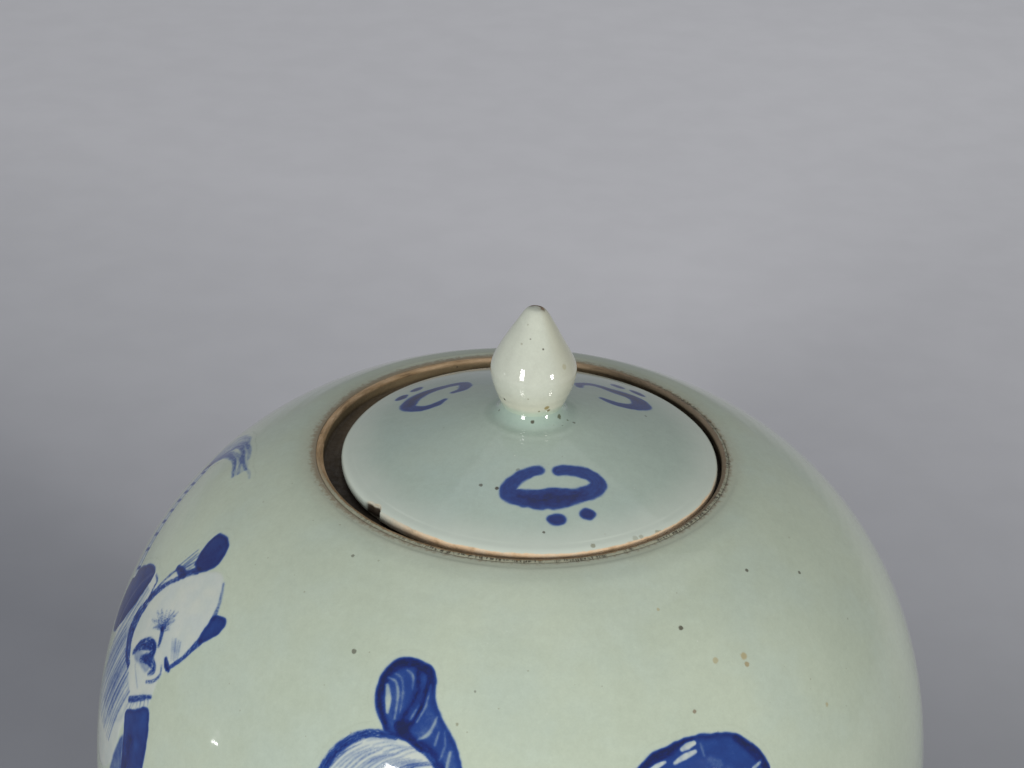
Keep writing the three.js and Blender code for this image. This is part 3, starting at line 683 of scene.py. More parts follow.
# ---------------------------------------------------------------- materials
class Shader:
    """A node material with a Principled shader, and short names for the nodes it uses."""

    SPOT_SOFT = 0.4  # how wide a spot's edge is, as a share of its radius
    SPOT_RAGGED = 0.35  # how far its edge wanders, as a share of its radius
    IOR = 1.5

    def __init__(self, name):
        self.material = bpy.data.materials.new(name)
        self.material.use_nodes = True
        self.tree = self.material.node_tree
        self.tree.nodes.clear()
        output = self.add("ShaderNodeOutputMaterial")
        self.bsdf = self.add("ShaderNodeBsdfPrincipled")
        self.tree.links.new(self.bsdf.outputs[0], output.inputs[0])
        coordinates = self.add("ShaderNodeTexCoord")
        scaled = self.add("ShaderNodeVectorMath", operation="SCALE")
        scaled.inputs["Scale"].default_value = 1 / MM
        self.tree.links.new(coordinates.outputs["Object"], scaled.inputs[0])
        self.mm = scaled.outputs[0]

    def add(self, kind, **settings):
        node = self.tree.nodes.new(kind)
        for key, value in settings.items():
            setattr(node, key, value)
        return node

    def put(self, socket, value):
        if isinstance(value, bpy.types.NodeSocket):
            self.tree.links.new(value, socket)
        elif isinstance(value, tuple) and len(value) == 3 and socket.type == "RGBA":
            socket.default_value = (*value, 1)
        else:
            socket.default_value = value

    def noise(self, size, detail, roughness=0.5, vector=None):
        node = self.add("ShaderNodeTexNoise")
        self.put(node.inputs["Vector"], vector or self.mm)
        node.inputs["Scale"].default_value = 1 / size
        node.inputs["Detail"].default_value = detail
        node.inputs["Roughness"].default_value = roughness
        return node.outputs["Fac"]

    def math(self, operation, a, b=0.0, c=0.0):
        node = self.add("ShaderNodeMath", operation=operation)
        for socket, value in zip(node.inputs, (a, b, c)):
            self.put(socket, value)
        return node.outputs[0]

    def span(self, value, low, high, to_low=0.0, to_high=1.0, smooth=True):
        """Maps value from low..high to to_low..to_high, clamped."""
        node = self.add("ShaderNodeMapRange")
        node.interpolation_type = "SMOOTHSTEP" if smooth else "LINEAR"
        self.put(node.inputs["Value"], value)
        node.inputs["From Min"].default_value = low
        node.inputs["From Max"].default_value = high
        node.inputs["To Min"].default_value = to_low
        node.inputs["To Max"].default_value = to_high
        return node.outputs["Result"]

    def mix(self, factor, a, b, blend="MIX"):
        node = self.add("ShaderNodeMix", data_type="RGBA", blend_type=blend)
        self.put(node.inputs["Factor"], factor)
        self.put(node.inputs[6], a)
        self.put(node.inputs[7], b)
        return node.outputs[2]

    def ramp(self, factor, stops):
        node = self.add("ShaderNodeValToRGB")
        elements = node.color_ramp.elements
        while len(elements) < len(stops):
            elements.new(0.5)
        for element, (position, colour) in zip(elements, stops):
            element.position = position
            element.color = (*colour, 1)
        self.put(node.inputs[0], factor)
        return node.outputs[0]

    def layer(self, name):
        """A painted layer stored on the mesh."""
        return self.add("ShaderNodeAttribute", attribute_name=name).outputs["Fac"]

    def parts(self, vector=None):
        node = self.add("ShaderNodeSeparateXYZ")
        self.put(node.inputs[0], vector or self.mm)
        return node.outputs

    def shifted(self, offset):
        node = self.add("ShaderNodeVectorMath", operation="SUBTRACT")
        self.put(node.inputs[0], self.mm)
        node.inputs[1].default_value = offset
        return node.outputs[0]

    def around(self, centre=(0, 0)):
        """Radius from an upright axis, angle round it and height, in mm and radians."""
        x, y, z = self.parts(self.shifted((centre[0], centre[1], 0)))
        radius = self.math("SQRT", self.math("ADD", self.math("MULTIPLY", x, x), self.math("MULTIPLY", y, y)))
        return radius, self.math("ARCTAN2", y, x), z

    def combine(self, x, y, z):
        node = self.add("ShaderNodeCombineXYZ")
        for socket, value in zip(node.inputs, (x, y, z)):
            self.put(socket, value)
        return node.outputs[0]

    def specks(self, colour, speck, cell, radius, share, strength, seed):
        """Small round specks: one in some cells of a 3-D grid."""
        node = self.add("ShaderNodeTexVoronoi")
        self.put(node.inputs["Vector"], self.shifted((seed, seed * 0.7, -seed)))
        node.inputs["Scale"].default_value = 1 / cell
        chosen = self.parts(node.outputs["Color"])[0]
        size = self.math("MULTIPLY", self.parts(node.outputs["Color"])[1], radius / cell)
        near = self.math("LESS_THAN", node.outputs["Distance"], size)
        rare = self.math("LESS_THAN", chosen, share)
        factor = self.math("MULTIPLY", self.math("MULTIPLY", near, rare), strength)
        return self.mix(factor, colour, speck)

    def spot(self, colour, centre, radius, stain, strength):
        """One spot at a known place, with a ragged edge."""
        node = self.add("ShaderNodeVectorMath", operation="DISTANCE")
        self.put(node.inputs[0], self.mm)
        node.inputs[1].default_value = centre
        ragged = self.SPOT_RAGGED * radius
        wobble = self.math("MULTIPLY_ADD", self.noise(radius * 0.9, 2.0), ragged * 2, -ragged)
        distance = self.math("ADD", node.outputs["Value"], wobble)
        inner = radius * (1 - self.SPOT_SOFT)
        outer = radius * (1 + self.SPOT_SOFT * 0.4)
        factor = self.span(distance, inner, outer, strength, 0.0)
        return self.mix(factor, colour, stain)

    def bump(self, height, distance_mm, normal=None):
        node = self.add("ShaderNodeBump")
        node.inputs["Strength"].default_value = 1.0
        node.inputs["Distance"].default_value = distance_mm * MM
        self.put(node.inputs["Height"], height)
        if normal is not None:
            self.put(node.inputs["Normal"], normal)
        return node.outputs[0]

    def finish(self, colour, roughness, normal=None):
        self.put(self.bsdf.inputs["Base Color"], colour)
        self.put(self.bsdf.inputs["Roughness"], roughness)
        self.bsdf.inputs["IOR"].default_value = self.IOR
        if normal is not None:
            self.put(self.bsdf.inputs["Normal"], normal)
        return self.material


IRON = (0.055, 0.045, 0.028)
OLIVE = (0.15, 0.13, 0.055)
TAN = (0.36, 0.28, 0.12)
BARE_BROWN = (0.13, 0.085, 0.045)
BARE_OCHRE = (0.36, 0.235, 0.12)
BARE_CREAM = (0.66, 0.47, 0.29)
COBALT_BLACK = (0.010, 0.016, 0.070)
COBALT_DEEP = (0.008, 0.019, 0.130)
COBALT_MID = (0.015, 0.050, 0.225)
COBALT_PALE = (0.115, 0.20, 0.37)
COBALT_HAZE = (0.31, 0.39, 0.45)
SLIP_WHITE = (0.555, 0.585, 0.545)
SLIP_BLUE = (0.49, 0.54, 0.535)
# spacing of the turning lines on the jar, the knob and the lid
THROWING_RING_MM = 6.5
KNOB_RING_MM = 2.6
LID_RING_MM = 3.0


def tinted(shader, colour, size, detail, low, high):
    """Multiplies a colour by soft noise running from low to high."""
    tone = shader.span(shader.noise(size, detail, 0.6), 0.22, 0.8, low, high, smooth=False)
    return shader.mix(1.0, colour, shader.combine(tone, tone, tone), "MULTIPLY")


def celadon(shader, light, dark, blue):
    """The glaze's colour: slow drifts of tone, fine mottling and iron specks."""
    colour = shader.mix(shader.span(shader.noise(55, 3), 0.3, 0.7), dark, light)
    colour = shader.mix(shader.span(shader.noise(24, 4, 0.6), 0.42, 0.75, 0.0, 0.55), colour, blue)
    colour = tinted(shader, colour, 6.0, 4, 0.965, 1.03)
    colour = tinted(shader, colour, 1.7, 4, 0.955, 1.04)
    colour = tinted(shader, colour, 0.5, 3, 0.96, 1.035)
    colour = shader.specks(colour, (0.25, 0.25, 0.18), 3.4, 0.30, 0.30, 0.45, 3.1)
    colour = shader.specks(colour, (0.62, 0.66, 0.60), 5.0, 0.26, 0.25, 0.5, 7.9)
    colour = shader.specks(colour, IRON, 12.0, 0.50, 0.28, 0.7, 11.7)
    return colour


def painted(shader, colour):
    """Lays the white slip and cobalt stored on the mesh over a glaze colour."""
    slip = shader.layer("slip")
    cobalt = shader.layer("cobalt")
    white = shader.mix(shader.span(shader.noise(5.0, 3), 0.3, 0.7), SLIP_WHITE, SLIP_BLUE)
    white = tinted(shader, white, 0.8, 3, 0.96, 1.04)
    colour = shader.mix(shader.math("MULTIPLY", slip, 0.85), colour, white)
    grain = shader.math("MULTIPLY_ADD", shader.noise(0.55, 3, 0.7), 0.30, -0.15)
    broad = shader.math("MULTIPLY_ADD", shader.noise(2.6, 3, 0.6), 0.30, -0.15)
    inked = shader.math("MULTIPLY", cobalt, shader.math("ADD", shader.math("ADD", grain, broad), 1.0))
    tone = shader.ramp(inked, [(0.0, COBALT_HAZE), (0.20, COBALT_PALE), (0.56, COBALT_MID),
                               (0.84, COBALT_DEEP), (1.0, COBALT_BLACK)])
    colour = shader.mix(shader.span(inked, 0.0, 0.50, 0.0, 1.0), colour, tone)
    return colour


def glaze_normal(shader, rings=True):
    """Fine unevenness of a fired glaze, over the faint rings left by throwing."""
    normal = shader.bump(shader.noise(1.1, 2), 0.003)
    normal = shader.bump(shader.noise(7.0, 2), 0.05, normal)
    if rings:
        radius, _, z = shader.around()
        wander = shader.math("MULTIPLY", shader.noise(40, 2), 9.0)
        phase = shader.math("ADD", shader.math("SUBTRACT", z, radius), wander)
        wave = shader.math("SINE", shader.math("MULTIPLY", phase, 2 * math.pi / THROWING_RING_MM))
        normal = shader.bump(wave, 0.010, normal)
    return normal


def glaze_roughness(shader, base=0.045):
    """A glossy glaze, a little duller in places."""
    return shader.span(shader.noise(5.0, 4, 0.6), 0.3, 0.75, base, base + 0.035)


def mouth_place(shader):
    """Where a point is at the mouth: its radius, its angle, its distance round the rim and its height."""
    radius, angle, z = shader.around()
    return radius, angle, shader.math("MULTIPLY", angle, MOUTH_RADIUS), z


def facing(shader, angle, degrees, low, high):
    """0 to 1, largest on the side of the jar at the given angle: low and high are cosines."""
    turned_angle = shader.math("SUBTRACT", angle, math.radians(degrees))
    return shader.span(shader.math("COSINE", turned_angle), low, high)


def rim_dashes(shader, angle, arc, radius, inner, outer):
    """The broken line of dark dashes where the glaze stops at the lip."""
    dashes = shader.span(shader.noise(0.9, 2, 0.6, shader.combine(arc, 0.0, 0.0)), 0.46, 0.54)
    wander = shader.math("MULTIPLY_ADD", shader.noise(1.6, 3), 1.3, -0.65)
    place = shader.math("ADD", radius, wander)
    inside = shader.span(place, inner - 0.12, inner + 0.12)
    outside = shader.span(place, outer - 0.12, outer + 0.12, 1.0, 0.0)
    band = shader.math("MULTIPLY", inside, outside)
    broken = shader.span(shader.noise(7, 3), 0.42, 0.56)
    shown = shader.span(shader.math("COSINE", shader.math("SUBTRACT", angle, math.radians(-45))), -0.35, 0.35)
    dashes = shader.math("MULTIPLY", shader.math("MULTIPLY", dashes, band), broken)
    return shader.math("MULTIPLY", dashes, shown)


def rim_stain(shader, colour):
    """Brown stain that has crept from the bare lip into the glaze beside it, most on the left."""
    radius, angle, arc, z = mouth_place(shader)
    near_top = shader.span(z, RIM_Z - 6, RIM_Z - 4)
    outward = shader.math("SUBTRACT", radius, MOUTH_RADIUS)
    creep = shader.math("MULTIPLY_ADD", shader.noise(1.5, 5, 0.75), -4.4, outward)
    left = facing(shader, angle, 160, -0.5, 0.9)
    reach = shader.math("MULTIPLY_ADD", left, -1.1, creep)
    halo = shader.span(reach, -2.7, -0.9, 0.85, 0.0)
    colour = shader.mix(shader.math("MULTIPLY", halo, near_top), colour, (0.19, 0.135, 0.075))
    haze = shader.span(reach, -2.4, 3.4, 0.32, 0.0)
    colour = shader.mix(shader.math("MULTIPLY", haze, near_top), colour, (0.30, 0.26, 0.18))
    dashes = rim_dashes(shader, angle, arc, radius, MOUTH_RADIUS - 0.1, MOUTH_RADIUS + 0.4)
    return shader.mix(shader.math("MULTIPLY", dashes, 0.8), colour, (0.06, 0.042, 0.026))


def jar_glaze(name, with_paint):
    """The jar's celadon, with its known spots, the stain at the lip and, on the patches, the brushwork."""
    shader = Shader(name)
    colour = celadon(shader, (0.475, 0.54, 0.435), (0.43, 0.495, 0.40), (0.425, 0.505, 0.445))
    for centre, radius, stain, strength in (
        ((39.0, -64.6, 205.4), 0.7, IRON, 0.85),
        ((33.5, -62.0, 208.6), 0.45, TAN, 0.5),
        ((-37.6, -72.7, 200.5), 0.7, IRON, 0.7),
        ((42.5, -79.5, 192.3), 0.6, (0.17, 0.10, 0.05), 0.7),
        ((47.5, -68.4, 199.2), 0.9, TAN, 0.55),
        ((54.4, -64.4, 197.9), 1.0, TAN, 0.7),
        ((55.4, -65.8, 196.7), 0.8, (0.30, 0.21, 0.08), 0.7),
        ((55.8, -43.2, 208.5), 0.55, IRON, 0.8),
        ((69.9, -35.1, 203.4), 0.55, IRON, 0.75),
        ((76.4, -60.9, 182.4), 0.7, TAN, 0.6),
        ((83.2, -36.7, 191.4), 0.5, IRON, 0.45),
        ((-8.7, -83.7, 198.5), 0.4, IRON, 0.5),
        ((-12.5, -88.9, 192.8), 0.5, OLIVE, 0.5),
        ((-39.8, -49.8, 212.2), 0.5, IRON, 0.6),
        ((88.0, 52.0, 150.0), 1.6, TAN, 0.6),
        ((-60.0, 88.0, 120.0), 1.1, IRON, 0.8),
        ((20.0, -96.0, 70.0), 1.2, (0.17, 0.12, 0.06), 0.8),
    ):
        colour = shader.spot(colour, centre, radius, stain, strength)
    colour = rim_stain(shader, colour)
    # the glaze pools pale blue-green above the foot
    _, _, z = shader.around()
    pool = shader.span(shader.math("MULTIPLY_ADD", shader.noise(9, 3), 8.0, z), 12, 24, 0.6, 0.0)
    colour = shader.mix(pool, colour, (0.38, 0.50, 0.42))
    if with_paint:
        colour = painted(shader, colour)
    return shader.finish(colour, glaze_roughness(shader), glaze_normal(shader))


def edge_clay(shader):
    """Bare fired clay of the lid's edge: orange-cream with brown streaks."""
    clay = shader.ramp(shader.noise(3.0, 3, 0.5),
                       [(0.22, BARE_OCHRE), (0.46, BARE_CREAM), (0.7, (0.68, 0.54, 0.38))])
    return tinted(shader, clay, 0.5, 3, 0.92, 1.06)


def lid_glaze():
    """The lid's bluer celadon, with its brushwork, specks, bare edge and chip; the chip's lower wall has
    painted shade.
    """
    shader = Shader("lid_celadon_glaze")
    colour = celadon(shader, (0.415, 0.50, 0.44), (0.38, 0.465, 0.41), (0.365, 0.465, 0.435))
    radius, angle, z = shader.around((LID_X, LID_Y))
    # the glaze thins to white towards the edge and pools blue-green round the knob
    thin = shader.math("MULTIPLY_ADD", shader.noise(9, 3), 5.0, radius)
    thin = shader.span(thin, LID_RADIUS - 10, LID_RADIUS + 2.5, 0.0, 0.75)
    colour = shader.mix(thin, colour, (0.56, 0.615, 0.55))
    pool = shader.span(shader.math("MULTIPLY_ADD", shader.noise(6, 3), 4.0, radius), 9.0, 15.0, 0.6, 0.0)
    colour = shader.mix(pool, colour, (0.235, 0.345, 0.295))
    neck = shader.span(radius, 7.9, 9.0, 0.15, 0.0)
    colour = shader.mix(neck, colour, (0.47, 0.56, 0.46))
    for x, y, z_above, radius_mm, stain, strength in LID_SPECKS:
        r = math.hypot(x, y)
        place = (x + LID_X, y + LID_Y, lid_top(r) + z_above)
        colour = shader.spot(colour, place, radius_mm, stain, strength)
    colour = painted(shader, colour)
    # bare line where the glaze stops at the edge, wider in places
    ragged = shader.math("MULTIPLY_ADD", shader.noise(4.5, 4, 0.65), 0.9, z)
    bare = shader.span(ragged, LID_EDGE_Z + 0.15, LID_EDGE_Z + 0.45, 1.0, 0.0)
    bare = shader.math("MULTIPLY", bare, shader.span(radius, LID_RADIUS - 1.5, LID_RADIUS - 1.0))
    bare = shader.math("MULTIPLY", bare, facing(shader, angle, -72, 0.30, 0.72))
    colour = shader.mix(bare, colour, edge_clay(shader))
    below = shader.span(z, LID_UNDER_Z + 0.4, LID_UNDER_Z + 1.3, 0.8, 0.0)
    colour = shader.mix(below, colour, BARE_BROWN)
    chip = shader.layer("chip")
    chip_clay_and_shade = shader.mix(shader.span(shader.noise(1.4, 2), 0.35, 0.65), (0.54, 0.53, 0.44),
                         (0.44, 0.39, 0.29))
    # painted shade with some stain: the chip's wall below the edge is nearly black
    chip_clay_and_shade = shader.mix(shader.span(z, LID_EDGE_Z - 0.9, LID_EDGE_Z - 0.1), (0.035, 0.024, 0.014), chip_clay_and_shade)
    colour = shader.mix(chip, colour, chip_clay_and_shade)
    dull = shader.math("MAXIMUM", shader.math("MAXIMUM", bare, below), chip)
    rough = shader.math("ADD", glaze_roughness(shader), shader.math("MULTIPLY", dull, 0.6))
    normal = glaze_normal(shader, rings=False)
    phase = shader.math("ADD", radius, shader.noise(14, 2))
    wave = shader.math("SINE", shader.math("MULTIPLY", phase, 2 * math.pi / LID_RING_MM))
    close = shader.span(radius, 10, 17, 1.0, 0.0)
    normal = shader.bump(shader.math("MULTIPLY", wave, close), 0.04, normal)
    return shader.finish(colour, rough, normal)


# x and y from the lid's axis, height over the dome, radius, colour and strength of each speck
LID_SPECKS = (
    (-11.9, -28.0, 0, 0.55, IRON, 0.75), (-7.9, -29.3, 0, 0.62, IRON, 0.95), (-2.9, -23.5, 0, 0.6, IRON, 0.5),
    (0.3, -8.5, 1.3, 0.55, IRON, 0.9), (7.1, -4.8, 1.2, 0.75, (0.09, 0.10, 0.05), 0.85),
    (8.2, -5.4, 0.5, 0.4, IRON, 0.6), (9.3, -3.9, 0.4, 0.5, (0.09, 0.10, 0.05), 0.85),
    (8.0, -6.6, 0.3, 0.35, IRON, 0.6), (10.9, -4.2, 0, 0.45, IRON, 0.6), (-8.5, -2.2, 1.0, 0.4, IRON, 0.6),
    (4.0, -42.3, 0, 0.42, IRON, 0.8), (16.0, -44.6, 0, 0.7, OLIVE, 0.6),
    (26.4, -40.2, 0, 0.9, OLIVE, 0.35), (27.8, -39.2, 0, 0.7, OLIVE, 0.4), (32.0, -36.6, 0, 0.9, OLIVE, 0.55),
    (32.9, -36.1, 0, 0.8, OLIVE, 0.6), (35.3, -34.2, 0, 0.5, OLIVE, 0.5),
    (30.0, 12.0, 0, 0.4, IRON, 0.6),
    (-20.0, 22.0, 0, 0.4, IRON, 0.5),
)


def knob_glaze():
    """The knob's creamy glaze, with its specks and worn tip."""
    shader = Shader("knob_cream_glaze")
    colour = celadon(shader, (0.545, 0.575, 0.495), (0.505, 0.54, 0.465), (0.505, 0.555, 0.485))
    radius, angle, z = shader.around((LID_X, LID_Y))
    low = shader.math("MULTIPLY_ADD", shader.noise(5, 3), 3.0, z)
    warm = shader.span(low, KNOB_BASE_Z + 4.4, KNOB_BASE_Z + 12, 0.35, 0.0)
    colour = shader.mix(warm, colour, (0.55, 0.52, 0.38))
    colour = shader.mix(shader.span(low, KNOB_BASE_Z + 2.4, KNOB_BASE_Z + 5.2, 0.7, 0.0), colour,
                        (0.40, 0.53, 0.43))
    right = shader.math("MULTIPLY", facing(shader, angle, -12, 0.55, 1.0),
                        shader.span(z, KNOB_BASE_Z + 4, KNOB_BASE_Z + 10))
    colour = shader.mix(shader.math("MULTIPLY", right, 0.5), colour, (0.46, 0.45, 0.34))
    for angle_deg, height, at_radius, size, stain, strength in (
        (-137, 5.1, 9.6, 0.42, IRON, 0.95), (-66, 4.1, 9.2, 0.75, (0.26, 0.20, 0.06), 0.85),
        (-61, 3.0, 8.7, 0.5, (0.17, 0.13, 0.05), 0.85), (-78, 3.1, 8.7, 0.32, OLIVE, 0.7),
        (-101, 22.0, 5.8, 0.28, IRON, 0.65), (-72, 19.8, 7.0, 0.3, IRON, 0.85),
        (-119, 20.6, 6.6, 0.38, OLIVE, 0.4), (-138, 16.3, 8.9, 0.34, OLIVE, 0.45),
        (-38, 14.8, 9.7, 0.8, (0.36, 0.33, 0.20), 0.5), (-96, 7.5, 10.4, 0.26, OLIVE, 0.5),
        (-20, 9.0, 10.9, 0.6, TAN, 0.35), (60, 12, 10.9, 0.5, IRON, 0.6), (150, 9, 10.6, 0.6, IRON, 0.6),
    ):
        a = math.radians(angle_deg)
        place = (LID_X + at_radius * math.cos(a), LID_Y + at_radius * math.sin(a), KNOB_BASE_Z + height)
        colour = shader.spot(colour, place, size, stain, strength)
    # the glaze has worn off along the rim of the tip
    worn = shader.math("MULTIPLY_ADD", shader.noise(1.4, 3, 0.6), 0.7, z)
    worn = shader.span(worn, KNOB_TOP_Z - 0.35, KNOB_TOP_Z + 0.05)
    far_side = shader.math("MULTIPLY", facing(shader, angle, 62, -0.3, 0.35), shader.span(radius, 0.9, 1.4))
    worn = shader.math("MULTIPLY", worn, far_side)
    bare = shader.mix(shader.span(shader.noise(0.8, 3), 0.35, 0.65), (0.10, 0.065, 0.04), (0.26, 0.17, 0.10))
    colour = shader.mix(worn, colour, bare)
    rough = shader.math("ADD", glaze_roughness(shader, 0.04), shader.math("MULTIPLY", worn, 0.5))
    normal = glaze_normal(shader, rings=False)
    wave = shader.math("SINE", shader.math("MULTIPLY", z, 2 * math.pi / KNOB_RING_MM))
    close = shader.span(z, KNOB_BASE_Z + 3, KNOB_BASE_Z + 11, 1.0, 0.12)
    normal = shader.bump(shader.math("MULTIPLY", wave, close), 0.028, normal)
    return shader.finish(colour, rough, normal)


def bare_rim():
    """Unglazed lip and inner mouth: ochre and streaked on the lip, dark on the wall below, where stained clay
    lies under painted shade.
    """
    shader = Shader("bare_brown_rim")
    radius, angle, arc, z = mouth_place(shader)
    streaky = shader.combine(shader.math("MULTIPLY", arc, 0.16), radius, shader.math("MULTIPLY", z, 0.9))
    tone = shader.noise(1.5, 5, 0.65, streaky)
    colour = shader.ramp(tone, [(0.26, BARE_BROWN), (0.42, BARE_OCHRE), (0.72, BARE_CREAM)])
    front = facing(shader, angle, -85, -0.35, 0.55)
    front = shader.math("MULTIPLY", front, shader.span(tone, 0.45, 0.7, 0.9, 0.6))
    colour = shader.mix(front, colour, (0.17, 0.108, 0.045))
    right = facing(shader, angle, 5, 0.2, 0.95)
    colour = shader.mix(shader.math("MULTIPLY", right, 0.75), colour, (0.135, 0.11, 0.08))
    far = facing(shader, angle, 60, 0.3, 0.95)
    colour = shader.mix(shader.math("MULTIPLY", far, 0.3), colour, (0.22, 0.185, 0.135))
    over = shader.math("MULTIPLY_ADD", shader.noise(1.1, 4, 0.7), 0.9, radius)
    over = shader.span(over, MOUTH_RADIUS - 0.36, MOUTH_RADIUS - 0.16)
    over = shader.math("MULTIPLY", over, facing(shader, angle, -68, -0.35, 0.25))
    over = shader.math("MULTIPLY", over, shader.span(z, RIM_Z - 1.2, RIM_Z - 0.7))
    colour = shader.mix(over, colour, (0.30, 0.305, 0.225))
    # the wall below the lip has painted shade: lit brown at the left-back, nearly black elsewhere, blackest
    # deep down
    wall = shader.span(z, RIM_Z - 1.5, RIM_Z - 0.75, 1.0, 0.0)
    lit_back_left = facing(shader, angle, 128, 0.35, 0.95)
    dark = shader.mix(lit_back_left, (0.034, 0.023, 0.012), (0.27, 0.205, 0.115))
    dark = shader.mix(shader.span(tone, 0.42, 0.66, 0.0, 0.4), dark, (0.22, 0.155, 0.08))
    # painted shade, darkening the wall deep in the mouth above the lid seat
    deep_shade = shader.span(z, SEAT_Z + 0.2, SEAT_Z + 1.6, 0.75, 0.0)
    dark = shader.mix(deep_shade, dark, (0.016, 0.011, 0.007))
    colour = shader.mix(shader.math("MULTIPLY", wall, 0.94), colour, dark)
    dashes = rim_dashes(shader, angle, arc, radius, MOUTH_RADIUS - 0.75, MOUTH_RADIUS - 0.15)
    colour = shader.mix(shader.math("MULTIPLY", dashes, 0.85), colour, (0.035, 0.024, 0.013))
    colour = shader.specks(colour, (0.05, 0.035, 0.02), 1.3, 0.36, 0.3, 0.6, 5.3)
    rough = shader.span(shader.noise(1.5, 3), 0.3, 0.7, 0.5, 0.78)
    rough = shader.math("MULTIPLY_ADD", over, -0.38, rough)
    height = shader.math("SUBTRACT", shader.noise(0.9, 4, 0.7), shader.math("MULTIPLY", dashes, 0.5))
    return shader.finish(colour, rough, shader.bump(height, 0.2))


def bare_clay():
    """Unglazed underside of the lid: pale fired clay with burnt orange patches and turning lines."""
    shader = Shader("lid_bare_clay")
    _, _, z = shader.around((LID_X, LID_Y))
    colour = shader.ramp(shader.noise(9, 5, 0.6),
                         [(0.3, (0.30, 0.19, 0.10)), (0.5, (0.46, 0.33, 0.20)), (0.75, (0.58, 0.49, 0.36))])
    colour = shader.specks(colour, IRON, 3.0, 0.4, 0.4, 0.7, 2.2)
    lines = shader.math("SINE", shader.math("MULTIPLY", shader.math("ADD", z, shader.noise(8, 2)),
                                            2 * math.pi / 1.3))
    height = shader.math("MULTIPLY_ADD", lines, 0.25, shader.noise(0.7, 4, 0.7))
    return shader.finish(colour, shader.span(shader.noise(2, 3), 0.3, 0.7, 0.6, 0.85),
                         shader.bump(height, 0.15))


def foot_finish():
    """Foot ring: glaze down its sides, a burnt orange line where it stops, and a bare gritty underside."""
    shader = Shader("foot_ring_glaze_and_clay")
    colour = celadon(shader, (0.465, 0.53, 0.425), (0.43, 0.49, 0.40), (0.40, 0.50, 0.43))
    _, _, z = shader.around()
    line = shader.math("MULTIPLY_ADD", shader.noise(6, 4, 0.6), -2.6, z)
    bare = shader.span(line, 0.5, 0.9, 1.0, 0.0)
    burnt = shader.span(line, 0.7, 2.2, 0.8, 0.0)
    colour = shader.mix(burnt, colour, (0.40, 0.22, 0.09))
    clay = shader.ramp(shader.noise(2.5, 5, 0.65),
                       [(0.3, (0.36, 0.25, 0.15)), (0.55, (0.56, 0.46, 0.33)), (0.8, (0.64, 0.56, 0.44))])
    colour = shader.mix(bare, colour, clay)
    dirt = shader.span(shader.noise(1.2, 4, 0.7), 0.55, 0.75, 0.0, 0.6)
    colour = shader.mix(shader.math("MULTIPLY", dirt, bare), colour, (0.10, 0.07, 0.045))
    rough = shader.math("MULTIPLY_ADD", bare, 0.6, glaze_roughness(shader))
    grit = shader.math("MULTIPLY", shader.noise(0.6, 4, 0.7), bare)
    return shader.finish(colour, rough, shader.bump(grit, 0.2, glaze_normal(shader, rings=False)))


# ---------------------------------------------------------------- jar
def lid_top(r):
    """Height of the lid's dome at a radius from its axis."""
    r = np.asarray(r, float)
    return LID_EDGE_Z + LID_RISE * (1 - (np.clip(r, 0, LID_RADIUS) / LID_RADIUS) ** LID_POWER)


def wall_shape(r, z, angle):
    """Gives the thrown wall its slight unevenness, outside and inside alike."""
    return r - hand_wobble(angle, z) * np.clip((r - 56) / 12, 0, 1), z


def make_body():
    """The glazed jar, from under the foot ring over the shoulder to the lip, and down inside to the floor."""
    collar_z = RIM_Z - 0.6
    lengths = np.linspace(_lengths[0], np.interp(collar_z, _heights, _lengths), 150)
    outer = [(float(body_radius(height_at(s))), float(height_at(s))) for s in lengths]
    collar = [(MOUTH_FLAT_RADIUS - 0.4, collar_z + 0.05), (55.4, RIM_Z - 0.42),
              (MOUTH_RADIUS + 0.6, RIM_Z - 0.3), (MOUTH_RADIUS + 0.1, RIM_Z - 0.42)]
    outer = outer[:-6] + [tuple(p) for p in smooth_curve([outer[-7], outer[-3], *collar], 26)[1:]]
    inner = [(float(body_radius(z, WALL)), z) for z in np.linspace(INNER_TOP, FLOOR_TOP + 4, 70)]
    corner = inner[-1][0]
    floor = rounded([inner[-1], (corner - 3.5, FLOOR_TOP), (corner - 14, FLOOR_TOP)], 0.8, 6)[1:]
    # throwing spiral on the floor inside
    spiral = [(r, FLOOR_TOP + 0.35 * math.cos(r / 2.4)) for r in np.linspace(corner - 16, 2, 24)]
    tuck = [(MOUTH_RADIUS - 0.5, RIM_Z - 1.4), (MOUTH_RADIUS + 1, RIM_Z - 6)]
    lip = rounded([outer[-1], *tuck, inner[0]], 1.0, 3)[1:-1]
    under = [(r, FOOT_HEIGHT - 0.1) for r in np.linspace(4, FOOT_TOP_RADIUS - 0.6, 14)]
    profile = [(0, FOOT_HEIGHT - 0.1), *under, *outer, *map(tuple, lip), *inner, *map(tuple, floor),
               *spiral, (0, FLOOR_TOP + 0.2)]
    body = turned("jar_body", profile, 320, wall_shape)
    body.data.materials.append(jar_glaze("jar_celadon_glaze", False))
    return body


